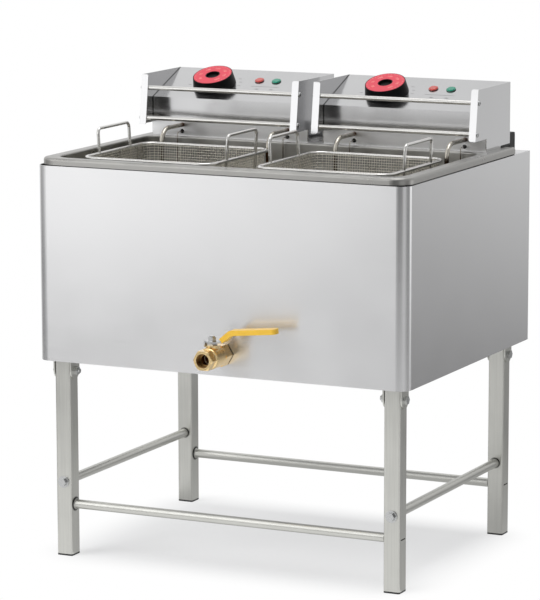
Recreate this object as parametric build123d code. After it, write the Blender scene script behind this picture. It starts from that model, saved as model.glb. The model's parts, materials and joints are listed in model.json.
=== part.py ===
from build123d import *
from math import atan2, cos, degrees, radians, sin, sqrt, tan
import os

# Floor-standing electric deep fryer with one well, two lift-out heating heads and two baskets.
# Millimetres, +Z up, the front faces -Y. Places are worked out from the middle of the housing
# on the floor, and every piece is then moved back by half the drain valve's reach.

# Housing
width = 700.0
depth = 550.0
floor_clear = 352.0
body_height = 342.0
sheet = 1.5
jacket_corner_r = 21.0
jacket_flange = 12.0
corner_relief = 62.0
upstand_set = 14.0
panel_gap = 0.3
pan_gap = 0.5
pan_lip = 20.0
pan_bend_r = 2.5

# Legs, stretchers and their fasteners
leg_size = 30.0
leg_wall = 2.0
leg_corner_r = 3.5
leg_inset_x = 21.0
leg_inset_front = 22.0
leg_inset_rear = 32.0
plug_head = 3.0
plug_insert = 18.0
plug_gap = 0.1
rail_d = 16.0
low_rail_z = 92.0
high_rail_z = 133.0
weld_leg = 3.0
slot_length = 18.0
slot_height = 2.0
bolt_d = 8.0
bolt_head_af = 13.0
bolt_head_h = 5.3
bolt_reach = 24.0
bolt_tail = 3.0
nut_h = 6.5
washer_d = 21.0
washer_t = 2.0
thread_gap = 0.05
hole_gap = 0.2
bracket_plate = 2.5
bracket_length = 76.0
bracket_edge_gap = 1.5
bracket_bolt_drop = 20.0

# Tank: rim, ledge, well and drain nipple
tank_sheet = 2.0
rim_inset = 2.5
rim_rise = 13.0
rim_gap = 1.2
rim_corner_r = 32.0
rim_rear_r = 6.0
rim_edge_r = 5.0
rim_side = 22.5
rim_front = 20.5
deck_depth = 60.0
ledge_depth = 107.0
well_corner_r = 30.0
well_edge_r = 3.0
sump_rise = 20.0
sump_depth = 98.0
sump_length = 180.0
sump_width = 120.0
sump_set = 16.0
sump_corner_r = 25.0
drain_x = 9.5
drain_rise = 18.5
nipple_d = 27.0
nipple_bore = 19.0
nipple_hole_gap = 4.0

# Drain valve
valve_wall_gap = 2.0
socket_af = 36.0
socket_length = 15.0
barrel_d = 38.0
barrel_length = 42.0
barrel_round = 6.0
end_af = 32.5
end_length = 16.0
end_chamfer = 2.5
outlet_d = 24.2
outlet_depth = 12.0
ball_d = 25.4
ball_bore = 17.0
seat_d = 28.0
seat_reach = 14.0
seat_gap = 0.05
seat_lip = 2.0
neck_d = 21.0
neck_rise = 3.0
collar_d = 28.0
collar_h = 2.5
stem_d = 9.0
stem_gap = 0.05
tang_t = 5.0
tang_depth = 4.0
gland_af = 17.0
gland_h = 3.5
gland_spigot_d = 14.0
gland_spigot = 6.0
lever_t = 2.5
lever_w = 14.0
lever_hub_d = 24.0
lever_lift_gap = 0.5
lever_flat = 16.0
lever_rise_run = 22.0
lever_rise = 18.5
lever_grip_run = 80.0
lever_grip_rise = 8.0
lever_bend_r = 6.0
stop_tab_w = 8.0
stop_tab_t = 2.5
stop_tab_gap = 1.25
stop_slack_deg = 2.0
lever_turn_deg = 90.0
sleeve_wall = 3.2
sleeve_start = 6.0
sleeve_fit = 0.05
sleeve_end_r = 6.0
lever_nut_af = 13.0
lever_nut_h = 7.0
stem_tail = 2.0

# Heads: sheet boxes that stand on the ledge
head_side = 21.5
head_between = 29.0
head_gap = 12.5
head_depth = 111.0
head_height = 113.0
panel_drop = 44.0
apron_drop = 37.0
seam_gap = 0.5
plate_t = 2.5
plate_foot = 48.0
ear_bottom_rise = 23.0
ear_reach_bottom = 51.0
ear_reach_top = 39.0
ear_flange = 13.0
ear_corner_r = 4.0
rod_d = 8.0
rod_gap = 0.2
rod_top_drop = 24.0
rod_pitch = 54.0
screw_d = 4.0
screw_head_d = 9.0
screw_head_h = 3.0
screw_length = 14.0
gland_drop = 75.0
gland_thread_d = 20.0
gland_hex_af = 24.0
gland_hex_h = 6.0
gland_dome = 18.0
gland_dome_r = 4.0
gland_bore_d = 12.0
gland_nut_h = 5.0

# Black rests under the rear ends of the cheeks
rest_width = 22.0
rest_leg = 44.0
rest_t = 4.0
rest_rise = 22.0
rest_back = 24.0
rest_gap = 0.3
rest_round = 4.0

# Heating elements
element_d = 8.0
element_side = 21.0
element_set = 10.0
element_exit_rise = 20.0
element_lead_gap = 7.0
element_lead_r = 26.0
element_drop_r = 16.0
element_runs = 6
element_front_gap = 22.0
element_rear_gap = 24.0
turn_flat = 2.0
element_tail = 26.0
pin_d = 4.0
pin_length = 12.0
strip_w = 12.0
strip_t = 2.0
strip_overhang = 10.0
strip_bite = 0.3
element_nut_af = 14.0
element_nut_h = 6.0

# Controls on the sloping panel, measured from the head's middle and up the slope from the fold
knob_x = -55.5
knob_up = 55.6
knob_base_d = 79.0
knob_top_d = 73.0
knob_h = 20.0
knob_lift = 0.6
face_d = 70.0
face_inner_d = 27.0
face_t = 1.6
face_proud = 0.4
face_fit = 0.05
dimple_d = 24.0
dimple_depth = 4.0
spindle_d = 6.0
spindle_gap = 0.05
spindle_down = 15.0
spindle_up = 14.0
spindle_hole_d = 10.0
lamp_first_x = 25.4
lamp_pitch = 34.0
lamp_up = 78.7
lamp_bezel_d = 17.0
lamp_bezel_h = 2.0
lamp_lens_d = 14.0
lamp_lens_h = 3.5
lamp_lens_r = 1.4
lamp_body_d = 12.0
lamp_body_length = 24.0
lamp_nut_d = 16.0
lamp_nut_h = 4.0
thermostat_w = 44.0
thermostat_l = 36.0
thermostat_h = 24.0
thermostat_line = 19.2
limit_x = 58.0
limit_w = 36.0
limit_l = 24.0
limit_h = 20.0
limit_drop = 58.0
capillary_d = 1.8
capillary_r = 4.5
capillary_wall = 6.0
capillary_fall = 22.0
capillary_hole_d = 8.0
capillary_hole_drop = 12.0
bulb_d = 6.0
bulb_length = 70.0
bulb_drop = 65.0

# Baskets
basket_side = 30.0
basket_set = 5.5
basket_front_gap = 31.5
basket_rear_gap = 79.5
basket_depth = 130.0
basket_rim_drop = 4.0
basket_corner_r = 28.0
basket_taper = 8.0
rim_wire_d = 6.0
cradle_wire_d = 5.0
cradle_x = 56.0
cradle_bend_r = 12.0
mesh_t = 1.2
mesh_gap = 0.2
grid_across = 10
grid_down = 6
grid_bar = 2.5
weld_bite = 0.4
handle_wire_d = 5.5
handle_half = 57.0
handle_rise = 44.0
handle_bend_r = 9.0
basket_seat_gap = 0.3

# Levels and faces that several pieces share
jacket_bottom = floor_clear
jacket_top = floor_clear + body_height
front = -depth / 2
rear = depth / 2
inner_x = width / 2 - sheet
pan_z = jacket_bottom + sheet
leg_x = width / 2 - leg_inset_x - leg_size / 2
leg_front_y = front + leg_inset_front + leg_size / 2
leg_rear_y = rear - leg_inset_rear - leg_size / 2
leg_top = pan_z - bracket_plate
bracket_bolt_z = leg_top - bracket_bolt_drop
rim_top = jacket_top + rim_rise
rim_under = rim_top - tank_sheet
ledge_rear = rear - deck_depth
deck_front = ledge_rear - (upstand_set - rim_inset)
well_x = width / 2 - rim_inset - rim_side
well_front = front + rim_inset + rim_front
well_rear = ledge_rear - ledge_depth
tank_floor = jacket_bottom + sump_rise
taper_z = tank_floor + sump_depth
drain_z = tank_floor + drain_rise
socket_y = front - valve_wall_gap
barrel_y = socket_y - socket_length
stem_y = barrel_y - barrel_length / 2
end_y = barrel_y - barrel_length
valve_front = end_y - end_length
neck_top = barrel_d / 2 + neck_rise
gland_z = drain_z + neck_top
lever_z = gland_z + gland_h + lever_lift_gap
lever_top = lever_z + lever_t
head_width = (width - head_between) / 2 - head_side
unit_pitch = head_width + head_between
head_front = well_rear + head_gap
head_rear = head_front + head_depth
head_top = rim_top + head_height
head_inner = head_width / 2 - sheet
fold_z = head_top - panel_drop
slope = atan2(panel_drop, head_depth)
seam_z = fold_z - apron_drop
ear_z = rim_top + ear_bottom_rise
rest_top = rim_top + rest_t
exit_z = rim_top + element_exit_rise
hole_z = exit_z - capillary_hole_drop
basket_rim_z = rim_top - basket_rim_drop
basket_width = head_width - 2 * basket_side
basket_front = well_front + basket_front_gap
basket_rear = well_rear - basket_rear_gap
basket_length = basket_rear - basket_front
basket_y = (basket_front + basket_rear) / 2
element_spread = basket_width - 2 * element_side
mesh_x = basket_width / 2 - rim_wire_d - mesh_gap
mesh_y = basket_length / 2 - rim_wire_d - mesh_gap
mesh_bottom = basket_rim_z - basket_depth
mesh_bend_r = cradle_bend_r - mesh_gap - cradle_wire_d / 2
cradle_z = mesh_bottom - mesh_gap - cradle_wire_d / 2
handle_z = cradle_z - (cradle_wire_d + handle_wire_d) / 2 + weld_bite
strip_top = handle_z - handle_wire_d / 2 - basket_seat_gap
element_z = strip_top - strip_t + strip_bite - element_d / 2
lead_y = basket_rear + element_lead_gap + element_d / 2
centre_shift = -(valve_front - front) / 2

UP = (0, 0, 1)
DOWN = (0, 0, -1)
OUT = (0, -1, 0)
BACK = (0, 1, 0)
SIDES = {"left": -1, "right": 1}
NEAR = 1e-6


def block(x0, x1, y0, y1, z0, z1):
    """Box between two corners, given in any order."""
    size = Box(abs(x1 - x0), abs(y1 - y0), abs(z1 - z0))
    return Pos((x0 + x1) / 2, (y0 + y1) / 2, (z0 + z1) / 2) * size


def face_plane(start, direction):
    """Plane at a point whose Z runs along the direction and whose X is level."""
    level = (1, 0, 0) if abs(direction[0]) < 0.9 else (0, 1, 0)
    return Plane(origin=start, x_dir=level, z_dir=direction)


def drum(start, direction, diameter, length):
    """Round bar from a point along a direction."""
    return extrude(face_plane(start, direction) * Circle(diameter / 2), amount=length)


def hex_bar(start, direction, across_flats, length):
    """Hexagon bar from a point along a direction."""
    outline = RegularPolygon(across_flats / 2, 6, major_radius=False)
    return extrude(face_plane(start, direction) * outline, amount=length)


def step(point, direction, distance):
    """Point moved along a direction."""
    return tuple(p + d * distance for p, d in zip(point, direction))


def bent_path(points, radii):
    """Straight runs through the points, with a tangent arc of the given radius at each inner point."""
    corners = [Vector(*point) for point in points]
    edges = []
    start = corners[0]
    for before, corner, after, radius in zip(corners, corners[1:], corners[2:], radii):
        back = (before - corner).normalized()
        ahead = (after - corner).normalized()
        half = radians(back.get_angle(ahead)) / 2
        reach = radius / tan(half)
        arc_start = corner + back * reach
        arc_end = corner + ahead * reach
        middle = corner + (back + ahead).normalized() * (radius / sin(half) - radius)
        edges.append(Line(start, arc_start))
        edges.append(ThreePointArc(arc_start, middle, arc_end))
        start = arc_end
    edges.append(Line(start, corners[-1]))
    return Wire([edge.edge() for edge in edges])


def bent_rod(points, radii, diameter):
    """Round wire or tube bent along the points."""
    path = bent_path(points, radii)
    section = Plane(origin=path @ 0, z_dir=path % 0) * Circle(diameter / 2)
    return sweep(section, path=path)


def merged(solids):
    """One solid from pieces that are welded together."""
    first, *others = solids
    return first.fuse(*others)


def rounded_plan(half_x, y0, y1, front_r, rear_r):
    """Level outline with one radius on the front corners and one on the rear corners."""
    outline = Pos(0, (y0 + y1) / 2) * Rectangle(2 * half_x, y1 - y0)
    middle = (y0 + y1) / 2
    front_corners = [v for v in outline.vertices() if v.Y < middle]
    outline = fillet(front_corners, front_r)
    rear_corners = [v for v in outline.vertices() if v.Y > middle]
    rear_corners = [v for v in rear_corners if abs(v.Y - y1) < NEAR]
    return fillet(rear_corners, rear_r)


def raised(outline, z0, z1):
    """Level outline extruded between two heights."""
    return extrude(Pos(0, 0, z0) * outline, amount=z1 - z0)


# Legs and stretchers

def leg(x, y):
    """Square tube with bolt holes for its side stretcher and bracket, and a slot at the welded one."""
    tube = RectangleRounded(leg_size, leg_size, leg_corner_r)
    bore = leg_size - 2 * leg_wall
    tube -= RectangleRounded(bore, bore, leg_corner_r - leg_wall)
    solid = extrude(Pos(x, y, plug_head) * tube, amount=leg_top - plug_head)
    hole_d = bolt_d + 2 * hole_gap
    solid -= drum((x - leg_size, y, bracket_bolt_z), (1, 0, 0), hole_d, 2 * leg_size)
    solid -= drum((x, y - leg_size, high_rail_z), BACK, hole_d, 2 * leg_size)
    slot = Pos(0, y, low_rail_z) * Box(leg_wall, slot_length, slot_height)
    outer_wall = x + (leg_size - leg_wall) / 2 * (1 if x > 0 else -1)
    return solid - Pos(outer_wall, 0, 0) * slot


def foot_plug(x, y):
    """Plug that closes the lower end of a leg and stands on the floor."""
    insert = leg_size - 2 * leg_wall - 2 * plug_gap
    head = extrude(Pos(x, y, 0) * RectangleRounded(leg_size, leg_size, leg_corner_r), amount=plug_head)
    insert_outline = RectangleRounded(insert, insert, leg_corner_r - leg_wall)
    return head + extrude(Pos(x, y, plug_head) * insert_outline, amount=plug_insert)


def welded_stretcher(y):
    """Round bar between two legs with a weld bead round each end."""
    half = leg_x - leg_size / 2
    pieces = [drum((-half, y, low_rail_z), (1, 0, 0), rail_d, 2 * half)]
    for side in (-1, 1):
        bead = Cone(rail_d / 2 + weld_leg, rail_d / 2, weld_leg)
        turn = Rot(0, -90 * side, 0)
        pieces.append(Pos(side * (half - weld_leg / 2), y, low_rail_z) * turn * bead)
    return merged(pieces)


def bolted_stretcher(x):
    """Round bar between a front and a rear leg, tapped at both ends."""
    start = (x, leg_front_y + leg_size / 2, high_rail_z)
    length = leg_rear_y - leg_front_y - leg_size
    bar = drum(start, BACK, rail_d, length)
    tap_d = bolt_d + 2 * thread_gap
    bar -= drum(start, BACK, tap_d, bolt_reach + bolt_tail)
    return bar - drum(step(start, BACK, length), OUT, tap_d, bolt_reach + bolt_tail)


def stretcher_bolt(face_point, inward):
    """Hexagon bolt through a leg into a side stretcher, and its round washer."""
    outward = tuple(-d for d in inward)
    washer = drum(face_point, outward, washer_d, washer_t)
    washer -= drum(face_point, outward, bolt_d + 2 * hole_gap, washer_t)
    seat = step(face_point, outward, washer_t)
    bolt = hex_bar(seat, outward, bolt_head_af, bolt_head_h)
    bolt += drum(seat, inward, bolt_d, washer_t + leg_size + bolt_reach)
    return [washer, bolt]


def leg_bracket(side, end):
    """Plate under the pan with two round-ended tabs that grip a leg's sides."""
    x_out = width / 2 - jacket_flange - bracket_edge_gap
    y_out = depth / 2 - jacket_flange - bracket_edge_gap
    y_leg = leg_front_y if end < 0 else leg_rear_y
    x_in = x_out - bracket_length
    y_in = y_out - bracket_length
    pieces = [block(side * x_in, side * x_out, end * y_in, end * y_out, leg_top, pan_z)]
    tab = Pos(0, bracket_bolt_drop / 2) * Rectangle(leg_size, bracket_bolt_drop) + Circle(leg_size / 2)
    tab -= Circle(bolt_d / 2 + hole_gap)
    for x0 in (leg_x - leg_size / 2 - bracket_plate, leg_x + leg_size / 2):
        x_low = side * x0 if side > 0 else side * x0 - bracket_plate
        place = Plane(origin=(x_low, y_leg, bracket_bolt_z), x_dir=BACK, z_dir=(1, 0, 0))
        pieces.append(extrude(place * tab, amount=bracket_plate))
    return merged(pieces)


def leg_bolt(side, y):
    """Bolt through a bracket and leg with its head outside, and its nut."""
    outward = (side, 0, 0)
    inward = (-side, 0, 0)
    grip = leg_size + 2 * bracket_plate
    seat = (side * (leg_x + grip / 2), y, bracket_bolt_z)
    bolt = hex_bar(seat, outward, bolt_head_af, bolt_head_h)
    bolt += drum(seat, inward, bolt_d, grip + nut_h + bolt_tail)
    nut_seat = step(seat, inward, grip)
    nut = hex_bar(nut_seat, inward, bolt_head_af, nut_h)
    nut -= drum(nut_seat, inward, bolt_d + 2 * thread_gap, nut_h)
    return [bolt, nut]


# Housing

def jacket():
    """Front and sides from one sheet, open behind, with flanges folded inward."""
    long_rear = rear + jacket_corner_r
    outer = rounded_plan(width / 2, front, long_rear, jacket_corner_r, sheet)
    inner = rounded_plan(inner_x, front + sheet, long_rear, jacket_corner_r - sheet, sheet)
    solid = raised(outer - inner, jacket_bottom, jacket_top)
    solid -= block(-width, width, rear, rear + depth, jacket_bottom, jacket_top)
    low = jacket_bottom + sheet
    high = jacket_top - sheet
    round_x = width / 2 - jacket_corner_r
    relief_x = width / 2 - corner_relief
    relief_y = front + corner_relief
    side_end = deck_front - panel_gap
    stand_top = rim_under
    folds = [block(-round_x, round_x, front, front + jacket_flange, jacket_bottom, low)]
    folds.append(block(-relief_x, relief_x, front, front + upstand_set, high, jacket_top))
    stand = front + upstand_set
    folds.append(block(-relief_x, relief_x, stand - sheet, stand, high, stand_top))
    for side in SIDES.values():
        edge = side * width / 2
        flange_x = side * (width / 2 - jacket_flange)
        stand_x = side * (width / 2 - upstand_set)
        folds.append(block(flange_x, edge, front + jacket_corner_r, rear - sheet, jacket_bottom, low))
        folds.append(block(stand_x, edge, relief_y, side_end, high, jacket_top))
        folds.append(block(stand_x, stand_x + side * sheet, relief_y, side_end, high, stand_top))
        folds.append(block(flange_x, edge, rear - 2 * sheet, rear - sheet, low, high - jacket_flange))
    solid = merged([solid, *folds])
    return solid - drum((drain_x, front - sheet, drain_z), BACK, nipple_d + 2 * nipple_hole_gap, 3 * sheet)


def rear_panel():
    """Back sheet whose top is folded forward as the deck and up under the ledge."""
    half = inner_x - panel_gap
    high = jacket_top - sheet
    back = block(-half, half, rear - sheet, rear, jacket_bottom, jacket_top)
    deck = block(-half, half, deck_front, rear, high, jacket_top)
    stand_x = width / 2 - upstand_set
    stand = block(-stand_x, stand_x, deck_front, deck_front + sheet, high, rim_under)
    return merged([back, deck, stand])


def base_pan():
    """Shallow tray that closes the housing underneath."""
    x = inner_x - pan_gap
    y0 = front + sheet + pan_gap
    y1 = rear - 2 * sheet - pan_gap
    tray = raised(rounded_plan(x, y0, y1, jacket_corner_r, pan_bend_r), pan_z, pan_z + pan_lip)
    hollow = rounded_plan(x - sheet, y0 + sheet, y1 - sheet, jacket_corner_r - sheet, pan_bend_r - sheet)
    return tray - raised(hollow, pan_z + sheet, pan_z + pan_lip)


def well_form(grow, top):
    """Well shape: straight walls, then a hopper down to the sump in front."""
    plan = rounded_plan(
        well_x + grow, well_front - grow, well_rear + grow, well_corner_r + grow, well_corner_r + grow
    )
    sump_y0 = well_front + sump_set
    sump = rounded_plan(
        sump_length / 2 + grow, sump_y0 - grow, sump_y0 + sump_width + grow,
        sump_corner_r + grow, sump_corner_r + grow,
    )
    straight = raised(plan, taper_z, top)
    hopper = loft([Pos(0, 0, tank_floor - grow) * sump, Pos(0, 0, taper_z) * plan], ruled=True)
    return straight + hopper


def tank():
    """Rim with its turned-down edge, ledge and well from one sheet, with the drain nipple welded in."""
    half = width / 2 - rim_inset
    edge_y = front + rim_inset
    outline = rounded_plan(half, edge_y, ledge_rear, rim_corner_r, rim_rear_r)
    rim = raised(outline, jacket_top + rim_gap, rim_top)
    rim = fillet(rim.faces().sort_by(Axis.Z)[-1].outer_wire().edges(), rim_edge_r)
    under = rounded_plan(
        half - tank_sheet, edge_y + tank_sheet, ledge_rear - tank_sheet,
        rim_corner_r - tank_sheet, rim_rear_r - tank_sheet,
    )
    rim -= raised(under, jacket_top, rim_under)
    nipple_y = well_front + sump_set + tank_sheet
    nipple = drum((drain_x, nipple_y, drain_z), OUT, nipple_d, nipple_y - barrel_y - tank_sheet)
    solid = merged([rim, well_form(tank_sheet, rim_under), nipple])
    solid -= well_form(0, rim_top)
    solid -= drum((drain_x, nipple_y + sump_set, drain_z), OUT, nipple_bore, nipple_y + sump_set - barrel_y)
    mouth = solid.faces().sort_by(Axis.Z)[-1].inner_wires()[0]
    return fillet(mouth.edges(), well_edge_r)


# Drain valve

def valve_body():
    """Brass body: hexagon socket, barrel with the ball chamber, and the notched neck for the lever."""
    axis = (drain_x, socket_y, drain_z)
    barrel = drum((drain_x, barrel_y, drain_z), OUT, barrel_d, barrel_length)
    barrel = fillet(barrel.edges().filter_by(GeomType.CIRCLE), barrel_round)
    neck = drum((drain_x, stem_y, drain_z), UP, neck_d, neck_top)
    collar = drum((drain_x, stem_y, gland_z - collar_h), UP, collar_d, collar_h)
    half_tab = degrees(atan2(stop_tab_w / 2, neck_d / 2)) + stop_slack_deg
    open_deg = 180 - lever_turn_deg
    sweep_arc = CenterArc((0, 0), collar_d, open_deg - half_tab, lever_turn_deg + 2 * half_tab)
    sector = make_face([Line((0, 0), sweep_arc @ 0), sweep_arc, Line(sweep_arc @ 1, (0, 0))])
    notch = extrude(Pos(drain_x, stem_y, gland_z - collar_h) * sector, amount=collar_h)
    body = merged([hex_bar(axis, OUT, socket_af, socket_length + barrel_round), barrel, neck])
    body += collar - notch
    body -= drum(axis, OUT, nipple_d + 2 * thread_gap, socket_length)
    body -= drum(axis, OUT, nipple_bore, socket_length + barrel_length)
    chamber_y = stem_y + seat_reach
    body -= drum((drain_x, chamber_y, drain_z), OUT, seat_d, barrel_length)
    body -= drum((drain_x, stem_y, drain_z), UP, stem_d + 2 * stem_gap, neck_top)
    return body - drum((drain_x, stem_y, gland_z), DOWN, gland_spigot_d + 2 * thread_gap, gland_spigot)


def valve_end():
    """Screwed-in front end with the threaded outlet."""
    start = (drain_x, stem_y - seat_reach, drain_z)
    end = drum(start, OUT, seat_d - 2 * thread_gap, barrel_length / 2 - seat_reach)
    hexagon = hex_bar((drain_x, end_y, drain_z), OUT, end_af, end_length)
    turned = drum((drain_x, end_y, drain_z), OUT, end_af / cos(radians(30)), end_length)
    end += hexagon & chamfer(turned.faces().sort_by(Axis.Y)[0].edges(), end_chamfer)
    end -= drum(start, OUT, ball_bore, barrel_length)
    return end - drum((drain_x, valve_front, drain_z), BACK, outlet_d, outlet_depth)


def valve_seats():
    """Two rings that hold the ball, hollowed to its roundness."""
    rings = []
    for toward in (BACK, OUT):
        far = step((drain_x, stem_y, drain_z), toward, seat_reach)
        near = tuple(-t for t in toward)
        thickness = seat_reach - sqrt(ball_d ** 2 - ball_bore ** 2) / 2 + seat_lip
        ring = drum(far, near, seat_d - 2 * thread_gap, thickness) - drum(far, near, ball_bore, thickness)
        rings.append(ring - Pos(drain_x, stem_y, drain_z) * Sphere(ball_d / 2 + seat_gap))
    return rings


def packing_nut():
    """Hexagon gland nut screwed into the neck around the stem."""
    nut = hex_bar((drain_x, stem_y, gland_z), UP, gland_af, gland_h)
    nut += drum((drain_x, stem_y, gland_z), DOWN, gland_spigot_d, gland_spigot)
    low = (drain_x, stem_y, gland_z - gland_spigot)
    return nut - drum(low, UP, stem_d + 2 * stem_gap, gland_spigot + gland_h)


def valve_ball():
    """Bored ball, shut: its bore lies across the pipe, and a slot on top takes the stem."""
    ball = Pos(drain_x, stem_y, drain_z) * Sphere(ball_d / 2)
    ball -= drum((drain_x - ball_d, stem_y, drain_z), (1, 0, 0), ball_bore, 2 * ball_d)
    slot = tang_t / 2 + stem_gap
    x0 = drain_x - ball_d
    x1 = drain_x + ball_d
    tang_z = drain_z + ball_d / 2 - tang_depth
    return ball - block(x0, x1, stem_y - slot, stem_y + slot, tang_z, drain_z + ball_d)


def valve_stem():
    """Round stem with a flat tang in the ball's slot."""
    tang_z = drain_z + ball_d / 2 - tang_depth + stem_gap
    top = lever_top + lever_nut_h + stem_tail
    stem = drum((drain_x, stem_y, tang_z), UP, stem_d, top - tang_z)
    shoulder = drain_z + ball_d / 2 + stem_gap
    for side in (-1, 1):
        flat = stem_y + side * tang_t / 2
        stem -= block(drain_x - stem_d, drain_x + stem_d, flat, flat + side * stem_d, tang_z, shoulder)
    return stem


def lever_points():
    """Middle line of the lever from its hub to the tip."""
    z = lever_z + lever_t / 2
    reach = [0, lever_flat, lever_flat + lever_rise_run, lever_flat + lever_rise_run + lever_grip_run]
    lift = [0, 0, lever_rise, lever_rise + lever_grip_rise]
    return [(drain_x + x, stem_y, z + dz) for x, dz in zip(reach, lift)]


def lever():
    """Bent flat lever with a round hub and a stop tab folded down beside the neck."""
    path = bent_path(lever_points(), [lever_bend_r, lever_bend_r])
    section = Plane(origin=path @ 0, x_dir=BACK, z_dir=path % 0) * Rectangle(lever_w, lever_t)
    arm = sweep(section, path=path)
    hub = drum((drain_x, stem_y, lever_z), UP, lever_hub_d, lever_t)
    tab_in = drain_x - neck_d / 2 - stop_tab_gap
    tab_low = gland_z - collar_h + lever_lift_gap
    half = stop_tab_w / 2
    tab = block(tab_in - stop_tab_t, tab_in, stem_y - half, stem_y + half, tab_low, lever_top)
    bridge = block(tab_in - stop_tab_t, drain_x, stem_y - half, stem_y + half, lever_z, lever_top)
    solid = merged([arm, hub, tab, bridge])
    return solid - drum((drain_x, stem_y, lever_z), UP, stem_d + 2 * stem_gap, lever_t)


def lever_sleeve():
    """Soft sleeve drawn over the rising part and the grip of the lever."""
    foot, bend, tip = (Vector(*point) for point in lever_points()[1:])
    start = foot + (bend - foot).normalized() * sleeve_start
    far = tip + (tip - bend).normalized() * sleeve_wall
    solids = []
    for end, margin in ((far, sleeve_wall), (tip, sleeve_fit)):
        path = bent_path([tuple(start), tuple(bend), tuple(end)], [lever_bend_r])
        section = Rectangle(lever_w + 2 * margin, lever_t + 2 * margin)
        solids.append(sweep(Plane(origin=path @ 0, x_dir=BACK, z_dir=path % 0) * section, path=path))
    grip, hollow = solids
    end_edges = grip.faces().sort_by(Axis.X)[-1].edges()
    corners = [edge for edge in end_edges if abs((edge % 0.5).Y) < NEAR]
    return fillet(corners, sleeve_end_r) - hollow


def lever_nut():
    """Nut that holds the lever on the stem."""
    nut = hex_bar((drain_x, stem_y, lever_top), UP, lever_nut_af, lever_nut_h)
    return nut - drum((drain_x, stem_y, lever_top), UP, stem_d + 2 * thread_gap, lever_nut_h)


# Heads

def ear_y(z):
    """Front face of an ear at a height: it leans forward towards the bottom."""
    share = (head_top - z) / (head_top - ear_z)
    return head_front - ear_reach_top - share * (ear_reach_bottom - ear_reach_top)


def rod_places():
    """Y and Z of the two basket rods, close behind the ears."""
    lean = atan2(ear_reach_bottom - ear_reach_top, head_top - ear_z)
    back = (sheet + rod_gap + rod_d / 2) / cos(lean)
    heights = (head_top - rod_top_drop, head_top - rod_top_drop - rod_pitch)
    return [(ear_y(z) + back, z) for z in heights]


def cheek(x_out, inward):
    """End sheet of a head: a box side with an ear in front, folded inward along its leaning edge."""
    step_y = head_rear - rest_leg
    corners = [
        (head_front, rim_top), (step_y, rim_top), (step_y, rest_top), (head_rear, rest_top),
        (head_rear, head_top), (ear_y(head_top), head_top), (ear_y(ear_z), ear_z), (head_front, ear_z),
    ]
    outline = make_face(Polyline(*corners, close=True))
    x_low = min(x_out, x_out + inward * sheet)
    side = extrude(Plane(origin=(x_low, 0, 0), x_dir=BACK, z_dir=(1, 0, 0)) * outline, amount=sheet)
    lean = atan2(ear_reach_bottom - ear_reach_top, head_top - ear_z)
    thick = sheet / cos(lean)
    fold = make_face(
        Polyline(
            (ear_y(head_top), head_top), (ear_y(head_top) + thick, head_top),
            (ear_y(ear_z) + thick, ear_z), (ear_y(ear_z), ear_z), close=True,
        )
    )
    fold_low = min(x_out, x_out + inward * ear_flange)
    flange = extrude(Plane(origin=(fold_low, 0, 0), x_dir=BACK, z_dir=(1, 0, 0)) * fold, amount=ear_flange)
    corner = x_out + inward * ear_flange
    tips = [e for e in flange.edges() if abs(e.center().X - corner) < NEAR and abs(e.length - thick) < 1e-3]
    solid = side + fillet(tips, ear_corner_r)
    for y, z in rod_places():
        solid -= drum((x_out - head_width, y, z), (1, 0, 0), screw_d + 2 * hole_gap, 2 * head_width)
    return solid


def panel_plane(x, up):
    """Plane on the control panel's face at a place beside the head's middle and up the slope."""
    place = (x, head_front + up * cos(slope), fold_z + up * sin(slope))
    return Plane(origin=place, x_dir=(1, 0, 0), z_dir=(0, -sin(slope), cos(slope)))


def head_panel(x):
    """Sloping control panel, folded down in front as an apron."""
    drop = sheet / cos(slope)
    turn = sheet * tan(radians(45) - slope / 2)
    outline = make_face(
        Polyline(
            (head_rear, head_top), (head_front, fold_z), (head_front, seam_z),
            (head_front + sheet, seam_z), (head_front + sheet, fold_z - turn),
            (head_rear, head_top - drop), close=True,
        )
    )
    place = Plane(origin=(x - head_inner, 0, 0), x_dir=BACK, z_dir=(1, 0, 0))
    solid = extrude(place * outline, amount=2 * head_inner)
    solid -= panel_plane(x + knob_x, knob_up) * Cylinder(spindle_hole_d / 2, 4 * sheet)
    for lamp in range(2):
        lamp_x = x + lamp_first_x + lamp * lamp_pitch
        solid -= panel_plane(lamp_x, lamp_up) * Cylinder(lamp_body_d / 2 + hole_gap, 4 * sheet)
    return solid


def head_back(x):
    """Back sheet of a head, with the cable gland's hole."""
    top = head_top - sheet / cos(slope) - sheet * tan(slope)
    back = block(x - head_inner, x + head_inner, head_rear - sheet, head_rear, rest_top, top)
    hole = (x, head_rear - 2 * sheet, head_top - gland_drop)
    return back - drum(hole, BACK, gland_thread_d + 2 * hole_gap, 3 * sheet)


def exit_x(x, side):
    """X of one of the element's two leads: they sit a little to the right of the head's middle."""
    return x + element_set + side * element_spread / 2


def element_plate(x):
    """Lower front plate that carries the element, footed on the ledge."""
    x0 = x - head_inner
    x1 = x + head_inner
    plate = block(x0, x1, head_front, head_front + plate_t, rim_top, seam_z - seam_gap)
    foot = block(x0, x1, head_front, head_front + plate_foot, rim_top, rim_top + plate_t)
    solid = plate + foot
    for side in (-1, 1):
        for z, hole_d in ((exit_z, element_d + 2 * hole_gap), (hole_z, capillary_hole_d)):
            start = (exit_x(x, side), head_front - plate_t, z)
            solid -= drum(start, BACK, hole_d, 3 * plate_t)
    return solid


def basket_rods(x):
    """Two bars between the ears that the baskets hang on to drain."""
    rods = []
    for y, z in rod_places():
        rod = drum((x - head_inner, y, z), (1, 0, 0), rod_d, 2 * head_inner)
        for side in (-1, 1):
            tap = (x + side * head_inner, y, z)
            rod -= drum(tap, (-side, 0, 0), screw_d + 2 * thread_gap, screw_length)
        rods.append(rod)
    return rods


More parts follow.
